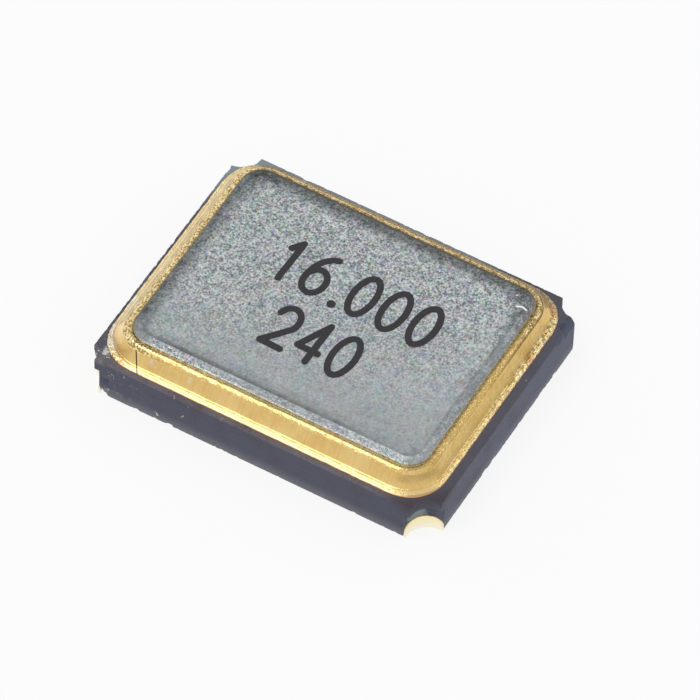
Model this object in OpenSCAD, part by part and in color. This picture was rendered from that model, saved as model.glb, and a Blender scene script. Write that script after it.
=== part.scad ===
// Quartz crystal in a four-pad ceramic package with a seam-welded metal lid.
// Millimetres, +Z up. The origin is under the middle of the ceramic body, in the solder plane.

/* [Ceramic body] */
// Length of the ceramic body, along X
body_l = 3.2; // [2.8:0.1:4.2]
// Width of the ceramic body, along Y
body_w = 2.5; // [2.2:0.1:3.4]
// Thickness of the floor layer
floor_t = 0.155; // [0.12:0.005:0.25]
// Thickness of the middle layer, whose top is the ledge for the quartz
step_t = 0.13; // [0.1:0.01:0.2]
// Thickness of the rim layer round the cavity
rim_t = 0.12; // [0.1:0.01:0.25]
// Depth of the score bevel that is left where the body was snapped off its sheet
score_d = 0.012; // [0.004:0.002:0.03]
// Height of the score bevel at the top and bottom edges
score_h = 0.06; // [0.03:0.01:0.1]
// How far the printed pattern lies from the middle of the snapped body, along X
pattern_dx = -0.03; // [-0.05:0.01:0.05]
// How far the printed pattern lies from the middle of the snapped body, along Y
pattern_dy = 0.02; // [-0.05:0.01:0.05]

/* [Corner notches and terminals] */
// Radius of the corner notches in the floor and middle layers
notch_r = 0.21; // [0.16:0.01:0.24]
// Radius of the corner notches in the rim layer
rim_notch_r = 0.16; // [0.1:0.01:0.17]
// Length of a solder pad, along X
pad_l = 0.9; // [0.6:0.05:1.1]
// Width of a solder pad, along Y
pad_w = 0.75; // [0.5:0.05:0.9]
// Distance from the pattern's outline to a solder pad
pad_margin = 0.05; // [0.04:0.01:0.1]
// Thickness of a solder pad under the ceramic
pad_t = 0.01; // [0.008:0.002:0.03]
// Thickness of the plating on the notch walls
plating_t = 0.012; // [0.008:0.002:0.03]
// Cut-off corner that marks the first solder pad
index_cut = 0.15; // [0.1:0.01:0.25]
// Radius of the other corners of the solder pads
pad_r = 0.06; // [0.02:0.01:0.1]

/* [Sealing frame] */
// Bare ceramic outside the sealing band at the short sides
band_margin_x = 0.047; // [0.04:0.001:0.1]
// Bare ceramic outside the sealing band at the long sides
band_margin_y = 0.028; // [0.024:0.001:0.1]
// Thickness of the sealing band
band_t = 0.015; // [0.01:0.005:0.03]
// Width of the band and braze that show outside the ring
foot_w = 0.118; // [0.09:0.002:0.15]
// Thickness of the braze under the ring
braze_t = 0.01; // [0.006:0.002:0.02]
// Corner radius of the band, whose corners run out a little past the braze
band_corner = 0.345; // [0.3:0.005:0.375]
// Width of the braze fillet outside the ring
fillet_w = 0.078; // [0.04:0.002:0.08]
// Width of the braze fillet inside the ring
inner_fillet_w = 0.018; // [0.01:0.002:0.02]
// Height of the braze fillet inside the ring
inner_fillet_h = 0.03; // [0.02:0.005:0.06]
// Distance from the ring's top down to the outer braze fillet
fillet_drop = 0.005; // [0.005:0.005:0.02]
// How deep a braze fillet is hollowed, over its width
fillet_hollow = 0.12; // [0.05:0.01:0.2]
// Width of the ring's wall
ring_wall = 0.18; // [0.14:0.01:0.2]
// Height of the ring
ring_h = 0.09; // [0.08:0.01:0.2]
// Outer corner radius of the ring
ring_r = 0.26; // [0.25:0.01:0.3]
// Distance from the ring's inner wall to the cavity's edge
cavity_step = 0.035; // [0.03:0.005:0.06]
// Corner radius of the cavity
cavity_r = 0.12; // [0.08:0.01:0.14]

/* [Lid] */
// Distance from the ring's outer wall to the lid's edge
lid_inset = 0.07; // [0.05:0.005:0.08]
// Thickness of the lid
lid_t = 0.07; // [0.06:0.005:0.12]
// Thickness that is left at the lid's edge after welding
lid_edge_t = 0.046; // [0.04:0.002:0.055]
// Width of the lid's rolled border
border_w = 0.09; // [0.05:0.005:0.095]
// Radius of the lid's upper edge
lid_edge_r = 0.012; // [0.004:0.002:0.016]
// How far the lid's field lies below the inner edge of its border
field_drop = 0.003; // [0.001:0.001:0.006]
// Width of the step from the border's inner edge down to the field
field_step_w = 0.025; // [0.01:0.005:0.04]
// Radius of the weld bead's section
bead_r = 0.04; // [0.03:0.002:0.045]

/* [Quartz] */
// Frequency in megahertz, which sets how thick the quartz plate is
frequency = 16; // [13:1:54]
// Gap between the quartz and the cavity wall at the fixed end
fixed_gap = 0.1; // [0.08:0.01:0.14]
// Gap between the quartz and the cavity wall at the free end
free_gap = 0.14; // [0.08:0.01:0.18]
// Gap between the quartz and the cavity walls along its sides
side_gap = 0.13; // [0.08:0.01:0.25]
// Bare quartz outside the electrodes along the sides
electrode_margin = 0.22; // [0.18:0.01:0.35]
// Length of the electrodes, along X
electrode_l = 1.15; // [0.8:0.05:1.2]
// Distance from the quartz's middle to the electrodes' middle, towards the free end
electrode_shift = 0.16; // [0.1:0.01:0.2]
// Thickness of the electrode films, which are far thinner on the real plate
film_t = 0.004; // [0.003:0.001:0.006]
// Width of the electrode tabs that run to the fixed corners
tab_w = 0.3; // [0.26:0.02:0.36]
// Clear film round an adhesive dot
contact_margin = 0.02; // [0.01:0.01:0.04]

/* [Quartz mounting] */
// Length of the ledge at the fixed end
ledge_l = 0.55; // [0.5:0.01:0.65]
// Length of the ledge at the free end
far_ledge_l = 0.28; // [0.25:0.01:0.35]
// Length of a mounting pad, along X
mount_l = 0.42; // [0.36:0.02:0.44]
// Width of a mounting pad, along Y
mount_w = 0.5; // [0.4:0.02:0.6]
// Thickness of a mounting pad
mount_t = 0.015; // [0.01:0.001:0.02]
// Gap between a mounting pad and the cavity walls
mount_gap = 0.05; // [0.03:0.01:0.06]
// Height of the conductive adhesive
glue_h = 0.03; // [0.024:0.002:0.04]
// Radius of an adhesive dot, without its bulge
glue_r = 0.12; // [0.1:0.01:0.14]
// Clearance between the support bump and the quartz
bump_gap = 0.015; // [0.01:0.005:0.02]
// Length of the support bump, along X
bump_l = 0.08; // [0.06:0.01:0.1]
// Width of the support bump, along Y
bump_w = 0.9; // [0.5:0.1:1.0]

/* [Buried conductors] */
// Width of the conductor traces
trace_w = 0.12; // [0.08:0.01:0.14]
// Thickness of the conductor traces
trace_t = 0.01; // [0.008:0.002:0.016]
// Diameter of the upright conductors
via_d = 0.1; // [0.08:0.01:0.12]
// Distance from the cavity wall to the middle of a trace or an upright conductor
wall_route = 0.15; // [0.13:0.01:0.17]

/* [Hidden] */
$fn = 64;
eps = 0.05;                    // how far cutting shapes reach past what they cut
at_constant = 1.67;            // thickness in mm times frequency in MHz of an AT-cut plate
fillet_lip = 0.06;             // thickness of a braze fillet's upper end, over its width

CERAMIC = "#413f4c";
GOLD = "#d8ae56";
BEAD_GOLD = "#e3c069";
LID_METAL = "#98a2a5";
QUARTZ = "#dfe8ea";
SILVER = "#d9dadb";
TUNGSTEN = "#7c7a78";

// heights, from the solder plane up
floor_z = pad_t + floor_t;
ledge_z = floor_z + step_t;
rim_z = ledge_z + rim_t;
band_z = rim_z + band_t;
ring_z = band_z + braze_t;
lid_z = ring_z + ring_h;

// half sizes of the sealing frame, each inside the one before
band_x = body_l / 2 - band_margin_x;
band_y = body_w / 2 - band_margin_y;
ring_x = band_x - foot_w;
ring_y = band_y - foot_w;
cavity_x = ring_x - ring_wall - cavity_step;
cavity_y = ring_y - ring_wall - cavity_step;
band_lip = cavity_step / 4;    // bare rim between the cavity and the band's inner edge

// the middles of the ring's corner arcs, which every frame piece shares
arc_x = ring_x - ring_r;
arc_y = ring_y - ring_r;
lid_r = ring_r - lid_inset;
inner_r = ring_r - ring_wall;

// the quartz plate: ends, half width and heights
blank_t = at_constant / frequency;
blank_x0 = -cavity_x + fixed_gap;
blank_x1 = cavity_x - free_gap;
blank_y = cavity_y - side_gap;
blank_z = ledge_z + mount_t + glue_h;
electrode_y = blank_y - electrode_margin;
electrode_x = (blank_x0 + blank_x1) / 2 + electrode_shift;

// mounting pads, with the glue and the upright conductor at their middle
mount_x = -cavity_x + mount_gap + mount_l / 2;
mount_y = cavity_y - mount_gap - mount_w / 2;
route_y = cavity_y + wall_route;

// Signs of X and Y at the corner of each terminal, counted from the index corner
function corner_sign(n) = [[-1, -1], [1, -1], [1, 1], [-1, 1]][n - 1];

// Middle of a corner notch, on the corner of the pattern
function notch_centre(n) = [corner_sign(n).x * body_l / 2, corner_sign(n).y * body_w / 2];

// Moves what belongs to the printed pattern to its place on the snapped body
module on_pattern() {
    translate([pattern_dx, pattern_dy, 0]) children();
}

// Rectangle given by its half sizes, with true arcs at the corners
module rounded_rectangle(half_x, half_y, r) {
    square([2 * half_x, 2 * (half_y - r)], center = true);
    square([2 * (half_x - r), 2 * half_y], center = true);
    for (sx = [-1, 1]) {
        for (sy = [-1, 1]) {
            translate([sx * (half_x - r), sy * (half_y - r)]) circle(r);
        }
    }
}

// Sweeps a section round the frame. The section's X is the distance out from the corner arcs'
// middles, and its Y is the height.
module frame_sweep() {
    for (side = [0, 1]) {
        mirror([side, 0, 0]) translate([arc_x, 0, 0]) rotate([90, 0, 0])
            linear_extrude(2 * arc_y, center = true) children();
        mirror([0, side, 0]) translate([0, arc_y, 0]) rotate([90, 0, 90])
            linear_extrude(2 * arc_x, center = true) children();
    }
    for (sx = [0, 1]) {
        for (sy = [0, 1]) {
            mirror([sx, 0, 0]) mirror([0, sy, 0]) translate([arc_x, arc_y, 0])
                rotate_extrude(angle = 90) children();
        }
    }
}

// Section of the body across one side, with the score bevels at top and bottom
module scored_section(half) {
    polygon([
        [-half + score_d, pad_t], [half - score_d, pad_t], [half, pad_t + score_h],
        [half, rim_z - score_h], [half - score_d, rim_z], [-half + score_d, rim_z],
        [-half, rim_z - score_h], [-half, pad_t + score_h]
    ]);
}

module scored_block() {
    intersection() {
        rotate([90, 0, 0]) linear_extrude(body_w + eps, center = true) scored_section(body_l / 2);
        rotate([90, 0, 90]) linear_extrude(body_l + eps, center = true) scored_section(body_w / 2);
    }
}

// A trace of even width along a run of points
module trace(points) {
    for (i = [0 : len(points) - 2]) {
        run = points[i + 1] - points[i];
        translate(points[i]) rotate(atan2(run.y, run.x))
            translate([0, -trace_w / 2]) square([norm(run), trace_w]);
    }
    for (p = points) {
        translate(p) circle(d = trace_w);
    }
}

// Route of a signal conductor from its corner notch to under its mounting pad
function signal_route(n) = n == 1
    ? [notch_centre(1), [-cavity_x - wall_route, -route_y], [mount_x, -mount_y]]
    : [notch_centre(3), [cavity_x + wall_route, route_y], [mount_x, route_y], [mount_x, mount_y]];

// Place of the upright conductor of a ground link, under the sealing ring
function ground_point(n) = [
    corner_sign(n).x * (cavity_x + wall_route), corner_sign(n).y * (cavity_y + wall_route)
];

// A trace in the top of the floor layer that ends on the plating of its notch
module buried_trace(n, points) {
    translate([0, 0, floor_z - trace_t]) linear_extrude(trace_t) difference() {
        trace(points);
        translate(notch_centre(n)) circle(notch_r);
    }
}

// An upright conductor from the floor layer's top up to a height
module upright(place, top) {
    translate([place.x, place.y, floor_z]) cylinder(d = via_d, h = top - floor_z);
}

module feedthrough(n) {
    route = signal_route(n);
    color(TUNGSTEN) on_pattern() {
        buried_trace(n, route);
        upright(route[len(route) - 1], ledge_z);
    }
}

module ground_link(n) {
    color(TUNGSTEN) on_pattern() {
        buried_trace(n, [notch_centre(n), ground_point(n)]);
        upright(ground_point(n), rim_z);
    }
}

// The cavity: full width above the ledges, and a pit between them down to the floor
module cavity() {
    translate([0, 0, ledge_z]) linear_extrude(rim_t + eps)
        rounded_rectangle(cavity_x, cavity_y, cavity_r);
    pit_l = 2 * cavity_x - ledge_l - far_ledge_l;
    translate([(ledge_l - far_ledge_l) / 2, 0, floor_z]) linear_extrude(step_t + eps)
        rounded_rectangle(pit_l / 2, cavity_y, cavity_r);
}

module corner_notches() {
    for (n = [1 : 4]) {
        translate(notch_centre(n)) {
            translate([0, 0, pad_t - eps]) cylinder(r = notch_r, h = ledge_z - pad_t + eps);
            translate([0, 0, ledge_z - eps]) cylinder(r = rim_notch_r, h = rim_t + 2 * eps);
        }
    }
}

module ceramic_base() {
    color(CERAMIC) difference() {
        scored_block();
        on_pattern() {
            cavity();
            corner_notches();
        }
        feedthrough(1);
        feedthrough(3);
        ground_link(2);
        ground_link(4);
    }
}

// Outline of a solder pad. The index pad's inner corner is cut off.
module pad_outline(n) {
    s = corner_sign(n);
    centre = [
        s.x * (body_l / 2 - pad_margin - pad_l / 2), s.y * (body_w / 2 - pad_margin - pad_w / 2)
    ];
    difference() {
        translate(centre) rounded_rectangle(pad_l / 2, pad_w / 2, pad_r);
        if (n == 1) {
            translate(centre + [pad_l, pad_w] / 2) rotate(45)
                square(index_cut * sqrt(2), center = true);
        }
    }
}

// A solder pad, and the plating that climbs the wall of its corner notch
module terminal(n) {
    color(GOLD) intersection() {
        on_pattern() difference() {
            union() {
                linear_extrude(pad_t) pad_outline(n);
                translate(notch_centre(n)) cylinder(r = notch_r, h = floor_z);
            }
            translate(notch_centre(n)) translate([0, 0, -eps])
                cylinder(r = notch_r - plating_t, h = floor_z + 2 * eps);
        }
        plated_space();
    }
}

// The room under and within the body's outline, where plating can lie
module plated_space() {
    scored_block();
    translate([0, 0, pad_t / 2])
        cube([body_l - 2 * score_d, body_w - 2 * score_d, pad_t], center = true);
}

module seal_band() {
    color(GOLD) on_pattern() translate([0, 0, rim_z]) linear_extrude(band_t) difference() {
        rounded_rectangle(band_x, band_y, band_corner);
        rounded_rectangle(cavity_x + band_lip, cavity_y + band_lip, cavity_r + band_lip);
    }
}

// Section of a shallow concave fillet that stands on the braze layer against a wall at X = 0
module fillet_section(w, h) {
    foot = [w, braze_t];
    top = [w * fillet_lip, braze_t + h];
    chord = top - foot;
    outward = [chord.y, -chord.x] / norm(chord);
    hollow = w * fillet_hollow;
    r = (pow(norm(chord) / 2, 2) + pow(hollow, 2)) / (2 * hollow);
    difference() {
        polygon([[0, 0], [w, 0], foot, top, [0, top.y]]);
        translate((foot + top) / 2 + outward * (r - hollow)) circle(r);
    }
}

module braze() {
    color(GOLD) on_pattern() translate([0, 0, band_z]) frame_sweep() {
        translate([inner_r - inner_fillet_w, 0])
            square([inner_fillet_w + ring_wall + foot_w, braze_t]);
        translate([ring_r, 0]) fillet_section(fillet_w, ring_h - fillet_drop);
        translate([inner_r, 0]) mirror([1, 0]) fillet_section(inner_fillet_w, inner_fillet_h);
    }
}

module seal_ring() {
    color(GOLD) on_pattern() translate([0, 0, ring_z]) frame_sweep()
        translate([inner_r, 0]) square([ring_wall, ring_h]);
}

// The seam: a bead on the ring's top, outside the lid
module weld_bead() {
    color(BEAD_GOLD) on_pattern() translate([0, 0, lid_z]) frame_sweep() intersection() {
        translate([ring_r - bead_r, 0]) circle(bead_r);
        translate([lid_r, 0]) square([lid_inset, bead_r]);
    }
}

// Section of the lid from the corner arcs' middles outwards: field, border and rounded edge
module lid_section() {
    flat_r = lid_r - border_w;
    field_t = lid_t - field_drop;
    difference() {
        polygon([
            [0, 0], [lid_r, 0], [lid_r, lid_edge_t], [flat_r, lid_t],
            [flat_r - field_step_w, field_t], [0, field_t]
        ]);
        translate([lid_r - lid_edge_r, lid_edge_t - lid_edge_r]) difference() {
            square(2 * lid_edge_r);
            circle(lid_edge_r);
        }
    }
}

module lid() {
    color(LID_METAL) on_pattern() translate([0, 0, lid_z]) {
        frame_sweep() lid_section();
        linear_extrude(lid_t - field_drop) square([2 * arc_x, 2 * arc_y], center = true);
    }
}

module mounting_pad(side) {
    color(GOLD) on_pattern() translate([mount_x, side * mount_y, ledge_z + mount_t / 2])
        cube([mount_l, mount_w, mount_t], center = true);
}

// A dot of conductive adhesive that bulges between the mounting pad and the film on the quartz
module adhesive_dot(side) {
    gap = glue_h - film_t;
    color(SILVER) on_pattern() translate([mount_x, side * mount_y, ledge_z + mount_t])
        rotate_extrude() {
            square([glue_r, gap]);
            intersection() {
                translate([glue_r, gap / 2]) circle(d = gap);
                square([2 * glue_r, gap]);
            }
        }
}

module support_bump() {
    bump_h = mount_t + glue_h - film_t - bump_gap;
    bump_x = cavity_x - (far_ledge_l + free_gap) / 2;
    color(TUNGSTEN) on_pattern() translate([bump_x, 0, ledge_z + bump_h / 2])
        cube([bump_l, bump_w, bump_h], center = true);
}

module quartz_blank() {
    color(QUARTZ) on_pattern() translate([blank_x0, -blank_y, blank_z])
        cube([blank_x1 - blank_x0, 2 * blank_y, blank_t]);
}

// A strip of film that starts at the fixed end of the quartz and passes over an adhesive dot
module tab_outline(side, x1) {
    translate([blank_x0, side * mount_y - tab_w / 2]) square([x1 - blank_x0, tab_w]);
}

// An electrode with the tab that runs to the fixed corner on one side
module electrode_outline(side) {
    translate([electrode_x, 0]) square([electrode_l, 2 * electrode_y], center = true);
    tab_outline(side, electrode_x);
}

module lower_electrode() {
    color(SILVER) on_pattern() translate([0, 0, blank_z - film_t]) linear_extrude(film_t)
        electrode_outline(-1);
}

// The upper film runs over the fixed end of the plate to its contact underneath
module upper_electrode() {
    contact_x = mount_x + glue_r + contact_margin;
    color(SILVER) on_pattern() {
        translate([0, 0, blank_z + blank_t]) linear_extrude(film_t) electrode_outline(1);
        translate([0, 0, blank_z - film_t]) linear_extrude(film_t) tab_outline(1, contact_x);
        translate([blank_x0 - film_t, mount_y - tab_w / 2, blank_z - film_t])
            cube([film_t, tab_w, blank_t + 2 * film_t]);
    }
}

ceramic_base();
terminal(1);  // terminal_1
terminal(2);  // terminal_2
terminal(3);  // terminal_3
terminal(4);  // terminal_4
feedthrough(1);  // feedthrough_1
feedthrough(3);  // feedthrough_3
ground_link(2);  // ground_link_2
ground_link(4);  // ground_link_4
seal_band();
braze();
seal_ring();
weld_bead();
lid();
mounting_pad(-1);  // mounting_pad_1
mounting_pad(1);  // mounting_pad_2
adhesive_dot(-1);  // adhesive_dot_1
adhesive_dot(1);  // adhesive_dot_2
support_bump();
quartz_blank();
upper_electrode();
lower_electrode();
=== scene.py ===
"""Looks of a quartz crystal in a seam-welded ceramic package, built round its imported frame.

Sizes in this file are millimetres, and each mesh is turned into metres as it is made.
"""

import logging
import math
from dataclasses import dataclass, field
from enum import Enum
from functools import cached_property
from typing import Callable, Mapping, Sequence

import bmesh
import bpy
import numpy as np
from mathutils import Matrix, Vector, noise


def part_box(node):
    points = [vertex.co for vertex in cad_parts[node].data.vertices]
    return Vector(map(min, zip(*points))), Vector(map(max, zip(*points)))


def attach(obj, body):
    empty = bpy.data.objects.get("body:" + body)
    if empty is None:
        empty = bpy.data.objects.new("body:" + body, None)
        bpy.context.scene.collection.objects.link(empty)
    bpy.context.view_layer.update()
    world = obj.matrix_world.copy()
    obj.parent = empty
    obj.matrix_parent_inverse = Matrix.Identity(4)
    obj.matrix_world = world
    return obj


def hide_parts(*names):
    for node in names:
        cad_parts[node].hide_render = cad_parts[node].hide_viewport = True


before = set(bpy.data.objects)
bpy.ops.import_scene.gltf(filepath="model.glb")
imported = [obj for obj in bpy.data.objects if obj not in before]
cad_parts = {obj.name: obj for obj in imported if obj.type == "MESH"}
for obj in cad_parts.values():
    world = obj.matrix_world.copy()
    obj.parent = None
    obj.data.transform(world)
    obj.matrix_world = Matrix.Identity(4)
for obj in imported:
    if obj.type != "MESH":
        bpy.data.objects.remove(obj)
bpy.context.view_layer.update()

MM = 0.001
log = logging.getLogger("crystal")

Colour = tuple[float, float, float]
Point = tuple[float, float, float]
Section = Sequence[tuple[float | np.ndarray, float | np.ndarray]]


# ---------------------------------------------------------------- meshes


def lumps(points: np.ndarray, grain: float, seed: float = 0.0) -> np.ndarray:
    """Smooth lumps between about -1 and 1, the same on each run.

    Args:
        points: Places, one a row.
        grain: Size of a lump.
        seed: Shift that gives another pattern.

    Returns:
        One height for each place.
    """
    return np.array([noise.noise(Vector(p)) for p in points / grain + seed])


def raised(outline: np.ndarray, z: float) -> np.ndarray:
    """A flat outline put at a height, as points in space."""
    return np.column_stack([outline, np.full(len(outline), z)])


def outward(outline: np.ndarray) -> np.ndarray:
    """Directions out of an outline.

    Args:
        outline: Points of the outline, counter-clockwise.

    Returns:
        A unit vector for each point.
    """
    along = np.roll(outline, -1, axis=0) - np.roll(outline, 1, axis=0)
    normal = np.column_stack([along[:, 1], -along[:, 0]])
    return normal / np.linalg.norm(normal, axis=1, keepdims=True)


def shrunk(loop: np.ndarray, shares: Sequence[float]) -> list[np.ndarray]:
    """Copies of a loop drawn in towards its middle, which keep its height."""
    middle = loop.mean(axis=0)
    return [middle + (loop - middle) * share for share in shares]


def make_piece(name: str, points: np.ndarray, faces: list, sharp_deg: float = 40.0) -> bpy.types.Object:
    """A closed mesh with its faces turned outwards, riding on the part's only body.

    Args:
        name: Name of the piece.
        points: Vertices, one a row, in millimetres.
        faces: Vertex numbers of each face.
        sharp_deg: Edges that turn by more than this stay sharp.

    Returns:
        The new object.
    """
    mesh = bpy.data.meshes.new(name)
    mesh.from_pydata((points * MM).tolist(), [], faces)
    sides = bmesh.new()
    sides.from_mesh(mesh)
    bmesh.ops.recalc_face_normals(sides, faces=sides.faces)
    sides.to_mesh(mesh)
    sides.free()
    mesh.shade_smooth()
    mesh.set_sharp_from_angle(angle=math.radians(sharp_deg))
    piece = bpy.data.objects.new(name, mesh)
    bpy.context.scene.collection.objects.link(piece)
    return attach(piece, "root")


def shell(loops: Sequence[np.ndarray], closed: bool) -> tuple[np.ndarray, list]:
    """Joins loops of equal length into a closed shell.

    Args:
        loops: Counter-clockwise loops, in the order that keeps the outside on the right.
        closed: Whether the last loop joins the first. Otherwise both ends are closed at a middle point.

    Returns:
        The vertices and the vertex numbers of each face.
    """
    count, size = len(loops), len(loops[0])
    points = np.concatenate(loops)
    number = np.arange(count * size).reshape(count, size)
    beyond = np.roll(number, -1, axis=1)
    faces = []
    for i in range(count if closed else count - 1):
        j = (i + 1) % count
        faces += np.column_stack([number[i], beyond[i], beyond[j], number[j]]).tolist()
    if not closed:
        middles = np.array([loops[0].mean(axis=0), loops[-1].mean(axis=0)])
        first, last = len(points), len(points) + 1
        points = np.concatenate([points, middles])
        faces += [[first, b, a] for a, b in zip(number[0], beyond[0])]
        faces += [[last, a, b] for a, b in zip(number[-1], beyond[-1])]
    return points, faces


def lofted(
    name: str, loops: Sequence[np.ndarray], closed: bool, sharp_deg: float = 40.0
) -> bpy.types.Object:
    """Makes a piece of the shell that joins loops, closed as the shell is."""
    return make_piece(name, *shell(loops, closed), sharp_deg)


@dataclass(frozen=True)
class Stations:
    """How finely an outline is stepped along its sides and round its corners."""

    long_side: int = 300
    short_side: int = 220
    corner: int = 44

    def side(self, corner_number: int) -> int:
        """Steps of the side that follows a corner, counted from the one at +X +Y."""
        return self.long_side if corner_number % 2 == 0 else self.short_side


CORNER_SIGNS = ((1, 1), (-1, 1), (-1, -1), (1, -1))


def round_about(angles: np.ndarray) -> np.ndarray:
    """Unit vectors at angles in radians, one a row."""
    return np.column_stack([np.cos(angles), np.sin(angles)])


def quarter_turn(corner: int, steps: int) -> np.ndarray:
    """Unit vectors round a rounded corner, counted from the one at +X +Y."""
    return round_about(np.radians(np.linspace(corner * 90, (corner + 1) * 90, steps + 1)))


@dataclass(frozen=True)
class FramePath:
    """The rounded rectangle that every piece of the sealing frame follows."""

    centre: np.ndarray
    arc: np.ndarray
    stations: Stations = Stations()

    def rays(self) -> tuple[np.ndarray, np.ndarray]:
        """The rays on which the stations lie.

        Returns:
            The start of each, on the line of the corner arcs' middles, and its direction.
        """
        starts, directions = [], []
        for k, signs in enumerate(CORNER_SIGNS):
            here = self.centre + self.arc * signs
            following = self.centre + self.arc * CORNER_SIGNS[(k + 1) % 4]
            quarter = quarter_turn(k, self.stations.corner)
            starts += [here] * len(quarter)
            directions += list(quarter)
            steps = self.stations.side(k)
            for i in range(1, steps):
                starts.append(here + (following - here) * i / steps)
                directions.append(directions[-1])
        return np.array(starts), np.array(directions)

    def loop(self, reach: float | np.ndarray, z: float | np.ndarray) -> np.ndarray:
        """A closed line round the frame.

        Args:
            reach: Distance out from the corner arcs' middles, one or one a station.
            z: Height, one or one a station.

        Returns:
            The line's points.
        """
        starts, directions = self.rays()
        flat = starts + directions * np.broadcast_to(reach, len(starts))[:, None]
        return np.column_stack([flat, np.broadcast_to(z, len(starts))])

    def swept(self, section: Section) -> list[np.ndarray]:
        """Loops of a section given as pairs of reach and height."""
        return [self.loop(reach, z) for reach, z in section]

    def corner_share(self) -> np.ndarray:
        """How much each station is in a corner: 0 on the sides, 1 at the middle of a corner."""
        _, directions = self.rays()
        return (2 * directions[:, 0] * directions[:, 1]) ** 2

    def facing(self, x: float, y: float) -> np.ndarray:
        """How much each station faces a direction, from 0 away from it to 1 towards it."""
        _, directions = self.rays()
        return 0.5 + 0.5 * directions @ np.array([x, y]) / math.hypot(x, y)


# ---------------------------------------------------------------- shader maths


class Value:
    """A number that changes over a surface. Arithmetic on it adds Math nodes."""

    def __init__(self, graph: "Graph", socket: bpy.types.NodeSocket) -> None:
        """Wraps an output socket of a graph."""
        self.graph = graph
        self.socket = socket

    def _math(self, operation: str, *operands: "Value | float") -> "Value":
        """A Math node on operands in their order."""
        made = self.graph.add("ShaderNodeMath", {"operation": operation}, dict(enumerate(operands)))
        return Value(self.graph, made.outputs[0])

    def __add__(self, other: "Value | float") -> "Value":
        """Sum."""
        return self._math("ADD", self, other)

    __radd__ = __add__

    def __mul__(self, other: "Value | float") -> "Value":
        """Product."""
        return self._math("MULTIPLY", self, other)

    __rmul__ = __mul__

    def __sub__(self, other: "Value | float") -> "Value":
        """Difference."""
        return self._math("SUBTRACT", self, other)

    def __rsub__(self, other: float) -> "Value":
        """Difference from a plain number."""
        return self._math("SUBTRACT", other, self)

    def __neg__(self) -> "Value":
        """The opposite."""
        return self._math("MULTIPLY", self, -1.0)

    def __truediv__(self, other: "Value | float") -> "Value":
        """Quotient."""
        return self._math("DIVIDE", self, other)

    def __rtruediv__(self, other: float) -> "Value":
        """Quotient of a plain number by this."""
        return self._math("DIVIDE", other, self)

    def __abs__(self) -> "Value":
        """Size without sign."""
        return self._math("ABSOLUTE", self)

    def root(self) -> "Value":
        """Square root."""
        return self._math("SQRT", self)

    def above(self, other: "Value | float") -> "Value":
        """The larger of this and another."""
        return self._math("MAXIMUM", self, other)

    def below(self, other: "Value | float") -> "Value":
        """The smaller of this and another."""
        return self._math("MINIMUM", self, other)

    def step(self, low: float, high: float) -> "Value":
        """Rises smoothly from 0 to 1, or falls if the second limit is the smaller.

        Args:
            low: Where the result is 0.
            high: Where the result is 1.

        Returns:
            A share between 0 and 1.
        """
        limits = (low, high, 0.0, 1.0) if low < high else (high, low, 1.0, 0.0)
        sockets = dict(enumerate((self, *limits)))
        made = self.graph.add("ShaderNodeMapRange", {"interpolation_type": "SMOOTHSTEP"}, sockets)
        return Value(self.graph, made.outputs[0])


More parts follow.
